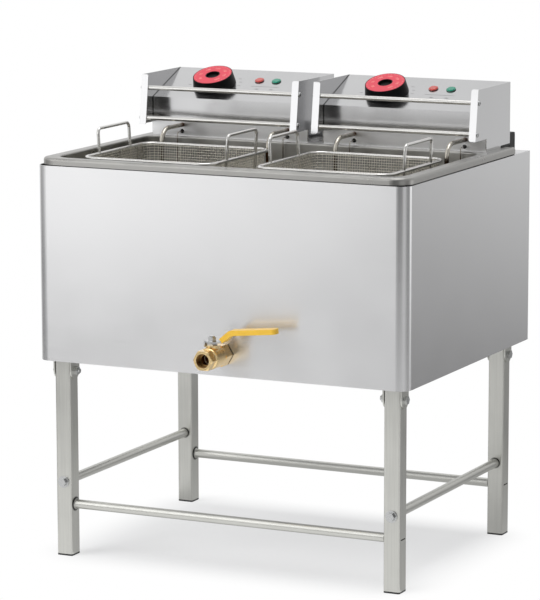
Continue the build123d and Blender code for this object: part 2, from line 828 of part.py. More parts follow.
def rod_screws(x):
    """Pan-head screws through the cheeks into the rods."""
    screws = []
    for y, z in rod_places():
        for side in (-1, 1):
            seat = (x + side * head_width / 2, y, z)
            head = drum(seat, (side, 0, 0), screw_head_d, screw_head_h)
            dome = head.faces().sort_by(Axis.X)[-1 if side > 0 else 0].edges()
            head = fillet(dome, screw_head_h / 2)
            screws.append(head + drum(seat, (-side, 0, 0), screw_d, screw_length - screw_head_h))
    return screws


def heating_element(x):
    """Sheathed tube bent down into the well and to and fro under the basket, with two spacer strips."""
    pitch = element_spread / (element_runs - 1)
    turn_r = (pitch - turn_flat) / 2
    run_front = basket_front + element_front_gap
    run_rear = basket_rear - element_rear_gap
    left = exit_x(x, -1)
    right = exit_x(x, 1)
    tail_y = head_front + element_tail
    points = [(left, tail_y, exit_z), (left, lead_y, exit_z), (left, lead_y, element_z)]
    radii = [element_lead_r, element_drop_r]
    for run in range(element_runs - 1):
        turn_y = run_front if run % 2 == 0 else run_rear
        points.append((left + run * pitch, turn_y, element_z))
        points.append((left + (run + 1) * pitch, turn_y, element_z))
        radii += [turn_r, turn_r]
    points += [(right, lead_y, element_z), (right, lead_y, exit_z), (right, tail_y, exit_z)]
    radii += [element_drop_r, element_lead_r]
    pieces = [bent_rod(points, radii, element_d)]
    for lead_x in (left, right):
        pieces.append(drum((lead_x, tail_y, exit_z), BACK, pin_d, pin_length))
    for strip_y in (basket_y - handle_half, basket_y + handle_half):
        x0 = left - strip_overhang
        x1 = right + strip_overhang
        low = strip_top - strip_t
        pieces.append(block(x0, x1, strip_y - strip_w / 2, strip_y + strip_w / 2, low, strip_top))
    return merged(pieces)


def element_nuts(x):
    """Lock nuts of the element behind its plate."""
    nuts = []
    for side in (-1, 1):
        seat = (exit_x(x, side), head_front + plate_t, exit_z)
        nut = hex_bar(seat, BACK, element_nut_af, element_nut_h)
        nuts.append(nut - drum(seat, BACK, element_d + 2 * thread_gap, element_nut_h))
    return nuts


def feeler(start, x_hole):
    """Capillary from a control down through its hole in the plate to the bulb in the well."""
    y_out = well_rear - capillary_wall
    low = hole_z + capillary_fall
    points = [
        start, (start[0], start[1], low), (x_hole, start[1], hole_z),
        (x_hole, y_out, hole_z), (x_hole, y_out, hole_z - bulb_drop),
    ]
    tube = bent_rod(points, [capillary_r] * 3, capillary_d)
    return tube + drum((x_hole, y_out, hole_z - bulb_drop), DOWN, bulb_d, bulb_length)


def thermostat(x):
    """Control thermostat under the panel, with its capillary and bulb."""
    place = panel_plane(x + knob_x, knob_up)
    body = place * Pos(0, 0, -sheet - thermostat_h / 2) * Box(thermostat_w, thermostat_l, thermostat_h)
    bore = Pos(0, 0, -spindle_down / 2) * Cylinder(spindle_d / 2 + spindle_gap, spindle_down)
    centre = place.origin - place.z_dir * (sheet + thermostat_line)
    line = feeler((centre.X, centre.Y, centre.Z), exit_x(x, -1))
    return body + line - place * bore


def high_limit(x):
    """Safety cut-out on the back sheet, with its capillary and bulb."""
    z = head_top - limit_drop
    y1 = head_rear - sheet
    body_x = x + limit_x
    half = limit_w / 2
    body = block(body_x - half, body_x + half, y1 - limit_h, y1, z - limit_l / 2, z + limit_l / 2)
    return body + feeler((body_x, y1 - limit_h / 2, z), exit_x(x, 1))


def pilot_lamp(x):
    """Pilot lamp: domed lens and bezel outside, body and nut behind the panel."""
    bezel = Pos(0, 0, lamp_bezel_h / 2) * Cylinder(lamp_bezel_d / 2, lamp_bezel_h)
    lens = Pos(0, 0, lamp_lens_h / 2) * Cylinder(lamp_lens_d / 2, lamp_lens_h)
    lens = fillet(lens.faces().sort_by(Axis.Z)[-1].edges(), lamp_lens_r)
    body = Pos(0, 0, -lamp_body_length / 2) * Cylinder(lamp_body_d / 2, lamp_body_length)
    nut = Pos(0, 0, -sheet - lamp_nut_h / 2) * Cylinder(lamp_nut_d / 2, lamp_nut_h)
    return panel_plane(x, lamp_up) * merged([bezel, lens, body, nut])


def cable_gland(x):
    """Cable gland in the back sheet, with its lock nut inside."""
    seat = (x, head_rear, head_top - gland_drop)
    inside = step(seat, OUT, sheet)
    gland = hex_bar(seat, BACK, gland_hex_af, gland_hex_h)
    dome = drum(step(seat, BACK, gland_hex_h), BACK, gland_thread_d, gland_dome)
    gland += fillet(dome.faces().sort_by(Axis.Y)[-1].edges(), gland_dome_r)
    gland += drum(seat, OUT, gland_thread_d, sheet + gland_nut_h)
    gland += hex_bar(inside, OUT, gland_hex_af, gland_nut_h)
    bore_start = step(inside, OUT, gland_nut_h)
    bore_length = gland_nut_h + sheet + gland_hex_h + gland_dome
    return gland - drum(bore_start, BACK, gland_bore_d, bore_length)


def head_rest(x):
    """Black rest on the ledge with an upstand behind the head."""
    half = rest_width / 2
    leg_front = head_rear - rest_leg + rest_gap
    stop = head_rear + rest_gap
    leg_block = block(x - half, x + half, leg_front, stop + rest_back, rim_top, rest_top)
    upstand = block(x - half, x + half, stop, stop + rest_back, jacket_top, rim_top + rest_rise)
    top_edges = upstand.faces().sort_by(Axis.Z)[-1].edges()
    return leg_block + fillet(top_edges.sort_by(Axis.Y)[-1], rest_round)


def knob(x):
    """Conical knob with a recess for its face ring, and the spindle it turns."""
    top = knob_lift + knob_h
    outline = make_face(
        Polyline(
            (0, knob_lift), (knob_base_d / 2, knob_lift), (knob_top_d / 2, top),
            (face_d / 2, top), (face_d / 2, top - face_t), (face_inner_d / 2, top - face_t),
            (face_inner_d / 2, top), (dimple_d / 2, top), (dimple_d / 2, top - dimple_depth),
            (0, top - dimple_depth), close=True,
        )
    )
    body = revolve(Plane.XZ * outline, Axis.Z)
    hole = Cylinder(spindle_d / 2 + spindle_gap, spindle_up - knob_lift)
    body -= Pos(0, 0, (knob_lift + spindle_up) / 2) * hole
    length = spindle_up + spindle_down - 2 * spindle_gap
    middle = (spindle_up - spindle_down) / 2
    spindle = Pos(0, 0, middle) * Cylinder(spindle_d / 2, length)
    place = panel_plane(x + knob_x, knob_up)
    return [place * body, place * spindle]


def knob_face(x):
    """Red ring that carries the dial's numbers."""
    ring = Cylinder(face_d / 2 - face_fit, face_t + face_proud)
    ring -= Cylinder(face_inner_d / 2 + face_fit, face_t + face_proud)
    middle = knob_lift + knob_h + (face_proud - face_t) / 2
    return panel_plane(x + knob_x, knob_up) * Pos(0, 0, middle) * ring


# Baskets

def basket_form(x, grow, bottom, top):
    """Tapered basket shape, wider at the rim by the taper on each side."""
    def plan(z):
        inset = basket_taper * (basket_rim_z - z) / basket_depth
        half_x = mesh_x + grow - inset
        half_y = mesh_y + grow - inset
        corner = basket_corner_r - rim_wire_d + grow - inset
        return Pos(x, basket_y, z) * RectangleRounded(2 * half_x, 2 * half_y, corner)
    return loft([plan(bottom), plan(top)], ruled=True)


def mesh_openings(x):
    """Gaps of a plain grid of bars, through the flat of each wall pair and of the bottom."""
    straight_x = mesh_x - basket_corner_r + rim_wire_d
    straight_y = mesh_y - basket_corner_r + rim_wire_d
    low = mesh_bottom + mesh_bend_r
    tall = basket_rim_z - rim_wire_d - low
    row = tall / grid_down
    holes = []
    for wide, turn in ((straight_x, 0), (straight_y, 90)):
        column = 2 * wide / grid_across
        through = Box(column - grid_bar, basket_width + basket_length, row - grid_bar)
        for place in GridLocations(column, row, grid_across, grid_down):
            across, up = place.position.X, place.position.Y
            wall = Pos(x, basket_y, low + tall / 2 + up) * Rot(0, 0, turn)
            holes.append(wall * Pos(across, 0, 0) * through)
    flat_x = mesh_x - basket_taper - mesh_bend_r
    flat_y = mesh_y - basket_taper - mesh_bend_r
    column = 2 * flat_x / grid_across
    row = 2 * flat_y / grid_across
    through = Box(column - grid_bar, row - grid_bar, mesh_bend_r)
    for place in GridLocations(column, row, grid_across, grid_across):
        holes.append(Pos(x, basket_y, mesh_bottom) * place * through)
    return holes


def basket_mesh(x):
    """Mesh walls and bottom as one thin skin, opened in a plain grid."""
    outer = basket_form(x, 0, mesh_bottom, basket_rim_z)
    outer = fillet(outer.faces().sort_by(Axis.Z)[0].edges(), mesh_bend_r)
    inner = basket_form(x, -mesh_t, mesh_bottom + mesh_t, basket_rim_z)
    skin = outer - fillet(inner.faces().sort_by(Axis.Z)[0].edges(), mesh_bend_r - mesh_t)
    return skin - mesh_openings(x)


def handle_wire(x, end):
    """Wire under the basket from side to side, bent up past the rim into half of each handle."""
    y = basket_y + end * handle_half
    rim_x = (basket_width - rim_wire_d) / 2
    low_x = mesh_x - basket_taper + mesh_gap + handle_wire_d / 2
    top_x = rim_x + (rim_x - low_x) * handle_rise / (basket_rim_z - handle_z)
    top_z = basket_rim_z + handle_rise
    points = [
        (x + top_x, basket_y, top_z), (x + top_x, y, top_z), (x + low_x, y, handle_z),
        (x - low_x, y, handle_z), (x - top_x, y, top_z), (x - top_x, basket_y, top_z),
    ]
    return bent_rod(points, [handle_bend_r, cradle_bend_r, cradle_bend_r, handle_bend_r], handle_wire_d)


def basket_frame(x):
    """Rim wire, two cradle wires front to back, and the two handle wires."""
    rim_x = basket_width - rim_wire_d
    rim_y = basket_length - rim_wire_d
    rim_r = basket_corner_r - rim_wire_d / 2
    rim_path = (Pos(x, basket_y, basket_rim_z) * RectangleRounded(rim_x, rim_y, rim_r)).wire()
    rim = sweep(Plane(origin=rim_path @ 0, z_dir=rim_path % 0) * Circle(rim_wire_d / 2), path=rim_path)
    pieces = [rim]
    low_y = mesh_y - basket_taper + mesh_gap + cradle_wire_d / 2
    high_y = rim_y / 2
    for cradle in (x - cradle_x, x + cradle_x):
        points = [
            (cradle, basket_y - high_y, basket_rim_z), (cradle, basket_y - low_y, cradle_z),
            (cradle, basket_y + low_y, cradle_z), (cradle, basket_y + high_y, basket_rim_z),
        ]
        pieces.append(bent_rod(points, [cradle_bend_r] * 2, cradle_wire_d))
    pieces += [handle_wire(x, -1), handle_wire(x, 1)]
    return merged(pieces)


def all_nodes():
    """Every node's name and its solids."""
    nodes = {}
    leg_ends = {"front": leg_front_y, "rear": leg_rear_y}
    for end, y in leg_ends.items():
        for name, side in SIDES.items():
            nodes[f"leg_{end}_{name}"] = leg(side * leg_x, y)
    for end, y in leg_ends.items():
        nodes[f"stretcher_{end}"] = welded_stretcher(y)
    for name, side in SIDES.items():
        nodes[f"stretcher_{name}"] = bolted_stretcher(side * leg_x)
    bolts = []
    leg_bolts = []
    brackets = []
    plugs = []
    for side in SIDES.values():
        for end, y in ((-1, leg_front_y), (1, leg_rear_y)):
            bolts += stretcher_bolt((side * leg_x, y + end * leg_size / 2, high_rail_z), (0, -end, 0))
            leg_bolts += leg_bolt(side, y)
            brackets.append(leg_bracket(side, end))
            plugs.append(foot_plug(side * leg_x, y))
    nodes["stretcher_bolts"] = bolts
    nodes["leg_bolts"] = leg_bolts
    nodes["leg_brackets"] = brackets
    nodes["foot_plugs"] = plugs
    nodes["jacket"] = jacket()
    nodes["rear_panel"] = rear_panel()
    nodes["base_pan"] = base_pan()
    nodes["tank"] = tank()
    nodes["valve_body"] = valve_body()
    nodes["valve_end"] = valve_end()
    nodes["valve_seats"] = valve_seats()
    nodes["packing_nut"] = packing_nut()
    nodes["valve_ball"] = valve_ball()
    nodes["valve_stem"] = valve_stem()
    nodes["drain_lever"] = lever()
    nodes["lever_sleeve"] = lever_sleeve()
    nodes["lever_nut"] = lever_nut()
    rests = []
    for name, side in SIDES.items():
        x = side * unit_pitch / 2
        left_out = x - head_width / 2
        right_out = x + head_width / 2
        nodes[f"{name}_head_cheeks"] = [cheek(left_out, 1), cheek(right_out, -1)]
        nodes[f"{name}_head_panel"] = head_panel(x)
        nodes[f"{name}_head_back"] = head_back(x)
        nodes[f"{name}_element_plate"] = element_plate(x)
        nodes[f"{name}_basket_rods"] = basket_rods(x)
        nodes[f"{name}_rod_screws"] = rod_screws(x)
        nodes[f"{name}_element"] = heating_element(x)
        nodes[f"{name}_element_nuts"] = element_nuts(x)
        nodes[f"{name}_thermostat"] = thermostat(x)
        nodes[f"{name}_high_limit"] = high_limit(x)
        nodes[f"{name}_lamp_red"] = pilot_lamp(x + lamp_first_x)
        nodes[f"{name}_lamp_green"] = pilot_lamp(x + lamp_first_x + lamp_pitch)
        nodes[f"{name}_cable_gland"] = cable_gland(x)
        nodes[f"{name}_knob"] = knob(x)
        nodes[f"{name}_knob_face"] = knob_face(x)
        basket_x = x - side * basket_set
        nodes[f"{name}_basket_mesh"] = basket_mesh(basket_x)
        nodes[f"{name}_basket_frame"] = basket_frame(basket_x)
        rests += [head_rest(left_out + rest_width / 2), head_rest(right_out - rest_width / 2)]
    nodes["head_rests"] = rests
    return nodes


def main():
    os.makedirs("parts", exist_ok=True)
    for name, made in all_nodes().items():
        pieces = made if isinstance(made, list) else [made]
        solids = [solid for piece in pieces for solid in piece.solids()]
        placed = [Pos(0, centre_shift, 0) * solid for solid in solids]
        shape = placed[0] if len(placed) == 1 else Compound(children=placed)
        export_step(shape, f"parts/{name}.step")


main()
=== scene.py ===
import json
import math

import bmesh
import bpy
from mathutils import Matrix, Vector


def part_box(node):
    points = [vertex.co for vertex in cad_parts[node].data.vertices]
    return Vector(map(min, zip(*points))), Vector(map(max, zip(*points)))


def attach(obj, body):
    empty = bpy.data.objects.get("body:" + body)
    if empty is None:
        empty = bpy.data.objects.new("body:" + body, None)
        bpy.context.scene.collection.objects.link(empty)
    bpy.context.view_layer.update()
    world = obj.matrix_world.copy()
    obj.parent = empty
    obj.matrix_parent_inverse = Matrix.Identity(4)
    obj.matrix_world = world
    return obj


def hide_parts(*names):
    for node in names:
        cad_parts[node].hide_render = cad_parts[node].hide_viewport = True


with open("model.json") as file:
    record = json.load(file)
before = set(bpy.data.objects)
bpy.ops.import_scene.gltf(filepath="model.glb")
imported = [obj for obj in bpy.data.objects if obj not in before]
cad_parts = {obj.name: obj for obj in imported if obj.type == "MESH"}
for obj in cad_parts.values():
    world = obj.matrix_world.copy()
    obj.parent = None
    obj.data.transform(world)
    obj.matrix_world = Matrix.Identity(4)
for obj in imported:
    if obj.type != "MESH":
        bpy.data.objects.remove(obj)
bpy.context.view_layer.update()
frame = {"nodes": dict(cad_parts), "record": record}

bl_info = {
    "name": "Floor deep fryer",
    "version": (1, 0, 0),
    "blender": (4, 5, 0),
    "location": "View3D > Sidebar > Fryer",
    "description": "Dresses a two-basket floor fryer in its finishes, woven baskets and printed dials",
    "category": "Object",
}

SIDES = ("left", "right")
JOINTS = {joint["name"]: joint for joint in frame["record"]["behaviour"]["joints"]}

# Lengths in finishes and print, in metres
LINE_DEPTH = 0.0002   # Depth that fine lines stand for
SEAM_SHADE = 0.0013         # Dark gap at each side of a sloping panel, painted as shade
JOINT_SHADE = 0.003     # Reach of the painted shade where a stretcher meets a leg
RIM_SHADE_EDGE = 0.006      # Half of the soft edge of the painted shade below the baskets' rims
PRINT_LIFT = 0.00004  # How far a dial's print stands above its face
MARK_LIFT = 0.00005   # How far a panel's marks stand above the sheet


def linear(code):
    """Linear red, green, blue and alpha of an sRGB hex colour."""
    parts = [int(code[place:place + 2], 16) / 255 for place in (1, 3, 5)]
    return [p / 12.92 if p <= 0.04045 else ((p + 0.055) / 1.055) ** 2.4 for p in parts] + [1.0]


def shaded(tone, factor):
    """The same colour, lighter or darker."""
    return [min(1.0, channel * factor) for channel in tone[:3]] + [1.0]


def colour(name, description, code):
    """A colour that the user may change."""
    return bpy.props.FloatVectorProperty(
        name=name, description=description, default=linear(code), subtype="COLOR", size=4, min=0, max=1)


def length(name, description, default):
    """A length in metres that the user may change."""
    return bpy.props.FloatProperty(name=name, description=description, default=default, min=0, unit="LENGTH")


class FryerColours(bpy.types.PropertyGroup):
    """Colours of the fryer's finishes."""

    sheet: colour("Stainless sheet", "Brushed sheet of the housing and heads", "#DADADB")
    tube: colour("Leg tube", "Satin tube of the legs and stretchers", "#CDCDC8")
    tank: colour("Tank", "Drawn sheet of the tank and its rim", "#A5A4A1")
    wire: colour("Wire", "Drawn wire of rods, rims and handles", "#E2E1DE")
    cloth: colour("Wire cloth", "Woven wire of the baskets", "#EAE6DC")
    sheath: colour("Sheath", "Heating tube away from its exits", "#D6D2C8")
    # Heat tint near the elements' exits; also painted shade below the baskets' rims, down the drain's bore and
    # on its ball
    tint: colour("Heat tint", "Heating tube near its exits and in the oil", "#5E3F26")
    brass: colour("Brass", "Machined body of the drain valve", "#FADCA4")
    zinc: colour("Zinc plate", "Bolts, nuts and the drain lever", "#C6C7C7")
    vinyl: colour("Vinyl sleeve", "Dipped sleeve of the drain lever", "#F8C63A")
    # Also painted shade: the gaps beside the sloping panels and the rings where stretchers meet legs
    black: colour("Black plastic", "Foot plugs, rests, glands and knobs", "#161617")
    red: colour("Dial face", "Printed ring of each knob", "#DA3047")
    ink: colour("Dial ink", "Numbers and ticks of each dial", "#F3A79B")
    mark: colour("Panel ink", "Marks printed on the sloping panels", "#6E6D6C")
    lamp_red: colour("Red lamp", "Lens of the heating lamp", "#C85048")
    lamp_green: colour("Green lamp", "Lens of the power lamp", "#1B8E73")
    seat: colour("Ball seats", "Turned rings of the drain valve", "#EDEBE4")
    block: colour("Thermostat case", "Moulded case of the controls", "#3A2C24")


class FryerSizes(bpy.types.PropertyGroup):
    """Sizes of what the solids leave plain."""

    mesh_pitch: length("Mesh pitch", "Distance from wire to wire in the baskets", 0.0046)
    mesh_wire: length("Mesh wire", "Diameter of the woven wire", 0.0012)
    mesh_corner: length("Basket corner", "Corner radius of the cloth at the rim", 0.022)
    mesh_taper: length("Basket taper", "How far each wall leans out from bottom to rim", 0.008)
    mesh_bend: length("Basket bend", "Radius between the walls and the bottom", 0.0093)
    number_height: length("Dial numbers", "Height of the numbers on a dial", 0.0068)
    number_ring: length("Number ring", "Radius of the ring of numbers", 0.0235)
    tick_ring: length("Tick ring", "Radius of the ring of ticks", 0.0318)
    dash: length("Panel dash", "Length of a mark printed on a panel", 0.006)
    bezel_wall: length("Lamp bezel", "Width of the rim around a lamp's lens", 0.0008)


def plug(tree, socket, value):
    """Sets a socket to a constant, or links it to the output that feeds it."""
    if isinstance(value, bpy.types.NodeSocket):
        tree.links.new(value, socket)
    else:
        socket.default_value = value


def add(tree, kind, sockets=None, **settings):
    """Adds a node with its settings and sockets."""
    made = tree.nodes.new(kind)
    for key, value in settings.items():
        setattr(made, key, value)
    for key, value in (sockets or {}).items():
        plug(tree, made.inputs[key], value)
    return made


def calc(tree, operation, *values):
    """A number worked out from numbers."""
    return add(tree, "ShaderNodeMath", dict(enumerate(values)), operation=operation).outputs[0]


def calc_vector(tree, operation, *values):
    """A vector worked out from vectors."""
    return add(tree, "ShaderNodeVectorMath", dict(enumerate(values)), operation=operation).outputs[0]


def size_of(tree, vector):
    """Length of a vector."""
    return add(tree, "ShaderNodeVectorMath", {0: vector}, operation="LENGTH").outputs["Value"]


def split(tree, vector, axis):
    """One part of a vector."""
    return add(tree, "ShaderNodeSeparateXYZ", {"Vector": vector}).outputs[axis]


def ranged(tree, value, start, end, low=0.0, high=1.0, **settings):
    """A value taken from one range to another and held at the ends."""
    sockets = {"Value": value, "From Min": start, "From Max": end, "To Min": low, "To Max": high}
    return add(tree, "ShaderNodeMapRange", sockets, **settings).outputs[0]


def mixed(tree, share, low, high):
    """A colour between two colours."""
    return add(tree, "ShaderNodeMix", {0: share, 6: low, 7: high}, data_type="RGBA").outputs[2]


def object_place(tree):
    """Place on the piece, in metres."""
    return add(tree, "ShaderNodeTexCoord").outputs["Object"]


def noise(tree, place, size, detail=3.0):
    """Soft noise whose spots have about the given size."""
    return add(tree, "ShaderNodeTexNoise", {"Vector": place, "Scale": 1 / size, "Detail": detail}).outputs[0]


def blank(name):
    """A new material, its node tree and its shader."""
    material = bpy.data.materials.new(name)
    material.use_nodes = True
    tree = material.node_tree
    return material, tree, tree.nodes["Principled BSDF"]


def opened(material):
    """A material's node tree, its shader and what feeds its colour."""
    tree = material.node_tree
    shader = tree.nodes["Principled BSDF"]
    return tree, shader, shader.inputs["Base Color"].links[0].from_socket


def feed(tree, shader, **sockets):
    """Plugs the shader's sockets, whose names use _ for spaces."""
    for key, value in sockets.items():
        plug(tree, shader.inputs[key.replace("_", " ")], value)


def finish(name):
    """Names a finish, which is made at its first use and found by its name afterwards."""
    return lambda make: lambda: bpy.data.materials.get(name) or make(name, bpy.context.scene.fryer_colours)


def streaked(name, base, rough, grain, spread, shade, relief, cloud=0.09, metallic=1.0, **more):
    """A surface with fine lines or specks of a real size, over soft clouds of a larger one.

    grain is a speck's size, or a line's along X, Y and Z. Roughness and colour differ by spread and shade.
    """
    material, tree, shader = blank(name)
    place = object_place(tree)
    sizes = grain if isinstance(grain, tuple) else (grain,) * 3
    along = add(tree, "ShaderNodeMapping", {"Vector": place, "Scale": [1 / size for size in sizes]}).outputs[0]
    lines = noise(tree, along, 1.0)
    both = calc(tree, "ADD", lines, noise(tree, place, cloud, 2.0))
    usual = (0.7, 1.3)
    tone = ranged(tree, both, *usual)
    bump = add(tree, "ShaderNodeBump", {"Height": lines, "Strength": relief, "Distance": LINE_DEPTH}).outputs[0]
    feed(tree, shader, Base_Color=mixed(tree, tone, shaded(base, 1 - shade), shaded(base, 1 + shade)),
         Roughness=ranged(tree, both, *usual, rough - spread, rough + spread), Normal=bump, Metallic=metallic,
         **more)
    return material


def grained(name, tone, factor=1.0, **numbers):
    """A finish that is all lines or specks over clouds."""
    return finish(name)(lambda _, c: streaked(name, shaded(getattr(c, tone), factor), **numbers))


SATIN = dict(rough=0.34, grain=(0.003, 0.003, 0.12), spread=0.06, shade=0.08, relief=0.04)
BRASS = dict(rough=0.24, grain=(0.003, 0.0012, 0.003), spread=0.06, shade=0.06, relief=0.04, cloud=0.012)

# Plain finishes, each named for its material and how its surface was made, under what it gives the eye

# Bright, with reflections drawn out up and down by fine lines from side to side
sheet_level = grained(
    "Stainless sheet, brushed level", "sheet", rough=0.25, grain=(0.12, 0.12, 0.0016), spread=0.02, shade=0.012,
    relief=0.004, Anisotropic=0.75, Anisotropic_Rotation=0.25)
# Duller, with lines that run from side to side
sheet_across = grained(
    "Stainless sheet, brushed across", "sheet", rough=0.3, grain=(0.09, 0.0007, 0.0007), spread=0.02,
    shade=0.015, relief=0.008)
# Clearer reflections than the housing's, in the folded heads
sheet_fine = grained(
    "Stainless sheet, fine brushed", "sheet", 0.87, rough=0.14, grain=(0.0016, 0.0016, 0.12), spread=0.02,
    shade=0.012, relief=0.004)
# Greyer and duller than the sheet, with lines along the tube
tube_satin = grained("Stainless tube, satin polished", "tube", **SATIN)
# Sharp highlights with small draw marks
wire_drawn = grained(
    "Steel wire, drawn bright", "wire", rough=0.15, grain=0.004, spread=0.04, shade=0.05, relief=0.03)
# The same wire, a little warmer from frying
cloth_woven = grained(
    "Stainless wire cloth, woven", "cloth", rough=0.3, grain=0.006, spread=0.06, shade=0.1, relief=0.0)
# A pale grey with a fine uneven sparkle
zinc_plated = grained(
    "Steel, zinc plated", "zinc", rough=0.3, grain=0.0015, spread=0.08, shade=0.08, relief=0.08)
# Yellow metal with turned lines and a slightly darker cast skin
brass_machined = grained("Brass, cast and machined", "brass", **BRASS)
# A brown mirror at the end of the bore, its brown painted shade of the bore
ball_chromed = grained(
    "Brass ball, chromed, oil filmed", "tint", 1.6, rough=0.25, grain=0.004, spread=0.05, shade=0.1,
    relief=0.02, cloud=0.01)
# An even glossy yellow skin, soft at its edges
vinyl_dipped = grained(
    "PVC, dipped yellow", "vinyl", rough=0.34, grain=0.004, spread=0.08, shade=0.05, relief=0.06, cloud=0.03,
    metallic=0.0, Subsurface_Weight=0.08, Subsurface_Radius=(0.004, 0.003, 0.001), IOR=1.53)
# Black and dull, with a faint powdery bloom
rubber_moulded = grained(
    "EPDM rubber, moulded black", "black", 0.6, rough=0.62, grain=0.0015, spread=0.1, shade=0.3, relief=0.1,
    cloud=0.02, metallic=0.0)
# Black with a fine spark-eroded texture
plastic_moulded = grained(
    "Polyamide, moulded black", "black", rough=0.45, grain=0.0009, spread=0.08, shade=0.25, relief=0.12,
    cloud=0.02, metallic=0.0, IOR=1.53)
# Deep black with a soft gloss
knob_moulded = grained(
    "Phenolic, moulded black", "black", 0.6, rough=0.36, grain=0.002, spread=0.07, shade=0.25, relief=0.03,
    cloud=0.02, metallic=0.0, IOR=1.6, Specular_IOR_Level=0.08)
# Flat colour under a satin skin with tiny grains
face_printed = grained(
    "Polycarbonate film, printed red", "red", rough=0.42, grain=0.0008, spread=0.06, shade=0.06, relief=0.04,
    cloud=0.015, metallic=0.0, IOR=1.58)
# A thin even coat, a little uneven at the stroke's edge
ink_pale = grained(
    "Ink, screen printed pale", "ink", rough=0.5, grain=0.0006, spread=0.05, shade=0.06, relief=0.03,
    cloud=0.01, metallic=0.0)
# Thin marks worn lighter in places
ink_grey = grained(
    "Ink, screen printed grey", "mark", rough=0.5, grain=0.0008, spread=0.05, shade=0.2, relief=0.03,
    cloud=0.01, metallic=0.0)
# Waxy white
ptfe_turned = grained(
    "PTFE, turned", "seat", rough=0.4, grain=0.001, spread=0.06, shade=0.03, relief=0.03, cloud=0.01,
    metallic=0.0, IOR=1.35)


@finish("Stainless sheet, fine brushed, seamed")
def panel_seam_shaded(name, c):
    """Lines up the slope, and a black line of painted shade at each side where the panel stands off the cheeks.
    """
    material = streaked(name, shaded(c.sheet, 0.87), rough=0.18, grain=(0.0016, 0.12, 0.12), spread=0.02,
                        shade=0.02, relief=0.006)
    tree, shader, steel = opened(material)
    low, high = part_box("right_head_panel")
    out = calc(tree, "ABSOLUTE", split(tree, object_place(tree), "X"))
    edge = calc(tree, "MINIMUM", calc(tree, "SUBTRACT", out, low.x), calc(tree, "SUBTRACT", high.x, out))
    # Near either edge the sheet turns black and not metallic: painted shade in the gap by the cheek
    shown = calc(tree, "GREATER_THAN", edge, SEAM_SHADE)
    feed(tree, shader, Base_Color=mixed(tree, shown, shaded(c.black, 0.5), steel), Metallic=shown)
    return material


def joint_shaded(material, c):
    """Adds black painted shade to a tube where the stretchers meet the legs."""
    tree, shader, steel = opened(material)
    place = object_place(tree)
    amount = 0.0
    for name, along in (("front", 0), ("rear", 0), ("left", 1), ("right", 1)):
        low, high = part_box("stretcher_" + name)
        middle, reach = (low + high) / 2, (high - low) / 2
        off = calc_vector(tree, "SUBTRACT", place, middle)
        far = size_of(tree, calc_vector(tree, "MULTIPLY", off, (along, 1 - along, 1)))
        ring = ranged(tree, far, reach.z, reach.z + JOINT_SHADE, 1.0, 0.0)
        run = calc(tree, "ABSOLUTE", split(tree, off, along))
        off_end = calc(tree, "ABSOLUTE", calc(tree, "SUBTRACT", run, reach[along]))
        at_end = ranged(tree, off_end, JOINT_SHADE / 6, JOINT_SHADE, 1.0, 0.0)
        amount = calc(tree, "MAXIMUM", amount, calc(tree, "MULTIPLY", ring, at_end))
    # The black rings are painted shade where each stretcher meets a leg
    feed(tree, shader, Base_Color=mixed(tree, amount, steel, list(c.black)))
    return material


@finish("Stainless tube, satin polished, heat ringed")
def tube_jointed(name, c):
    """Lines along the legs, and rings of painted shade at their joints."""
    return joint_shaded(streaked(name, c.tube, **SATIN), c)


@finish("Stainless bar, satin polished")
def bar_satin(name, c):
    """The same grey as the legs in fine specks, with painted shade at the ends."""
    steel = streaked(name, c.tube, rough=0.32, grain=0.0014, spread=0.05, shade=0.05, relief=0.03)
    return joint_shaded(steel, c)


@finish("Stainless sheet, deep drawn")
def tank_drawn(name, c):
    """A grey rim with cloudy dull patches from rubbing, matt down the well and paler there by painted light."""
    material = streaked(name, c.tank, rough=0.32, grain=0.03, spread=0.06, shade=0.05, relief=0.02, cloud=0.12)
    tree, shader, steel = opened(material)
    sheen = shader.inputs["Roughness"].links[0].from_socket
    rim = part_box("tank")[1].z
    down = ranged(tree, split(tree, object_place(tree), "Z"), rim - 0.03, rim - 0.06)
    dull = add(tree, "ShaderNodeMix", {0: down, 2: sheen, 3: 0.5}).outputs[0]
    # The paler colour down the well is painted light; the duller roughness there is the sheet's own
    feed(tree, shader, Base_Color=mixed(tree, down, steel, shaded(c.tank, 1.7)), Roughness=dull)
    return material


@finish("Brass, cast and machined, oiled bore")
def brass_bored(name, c):
    """The same yellow metal, painted dark brown down its outlet as shade in the bore."""
    material = streaked(name, c.brass, **BRASS)
    tree, shader, metal = opened(material)
    low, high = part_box("valve_end")
    middle = (low + high) / 2
    slack = 0.0002
    lip = [v.co for v in frame["nodes"]["valve_end"].data.vertices if v.co.y < low.y + slack]
    bore = min(math.hypot(p.x - middle.x, p.z - middle.z) for p in lip)
    off = calc_vector(tree, "SUBTRACT", object_place(tree), (middle.x, low.y, middle.z))
    far = size_of(tree, calc_vector(tree, "MULTIPLY", off, (1, 0, 1)))
    inside = calc(tree, "LESS_THAN", far, bore + slack)
    deep = ranged(tree, split(tree, off, "Y"), 0.003, 0.01, 0.0, 0.8)
    # Deeper in the outlet the brass turns dark brown: painted shade in the bore
    bore_shade = calc(tree, "MULTIPLY", inside, deep)
    feed(tree, shader, Base_Color=mixed(tree, bore_shade, metal, shaded(c.tint, 0.6)))
    return material


def rim_shade(tree, place):
    """Grows from 0 at the baskets' rims to 1 below them, where shade is painted on what hangs there."""
    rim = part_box("left_basket_mesh")[1].z
    return ranged(tree, split(tree, place, "Z"), rim + RIM_SHADE_EDGE, rim - RIM_SHADE_EDGE)


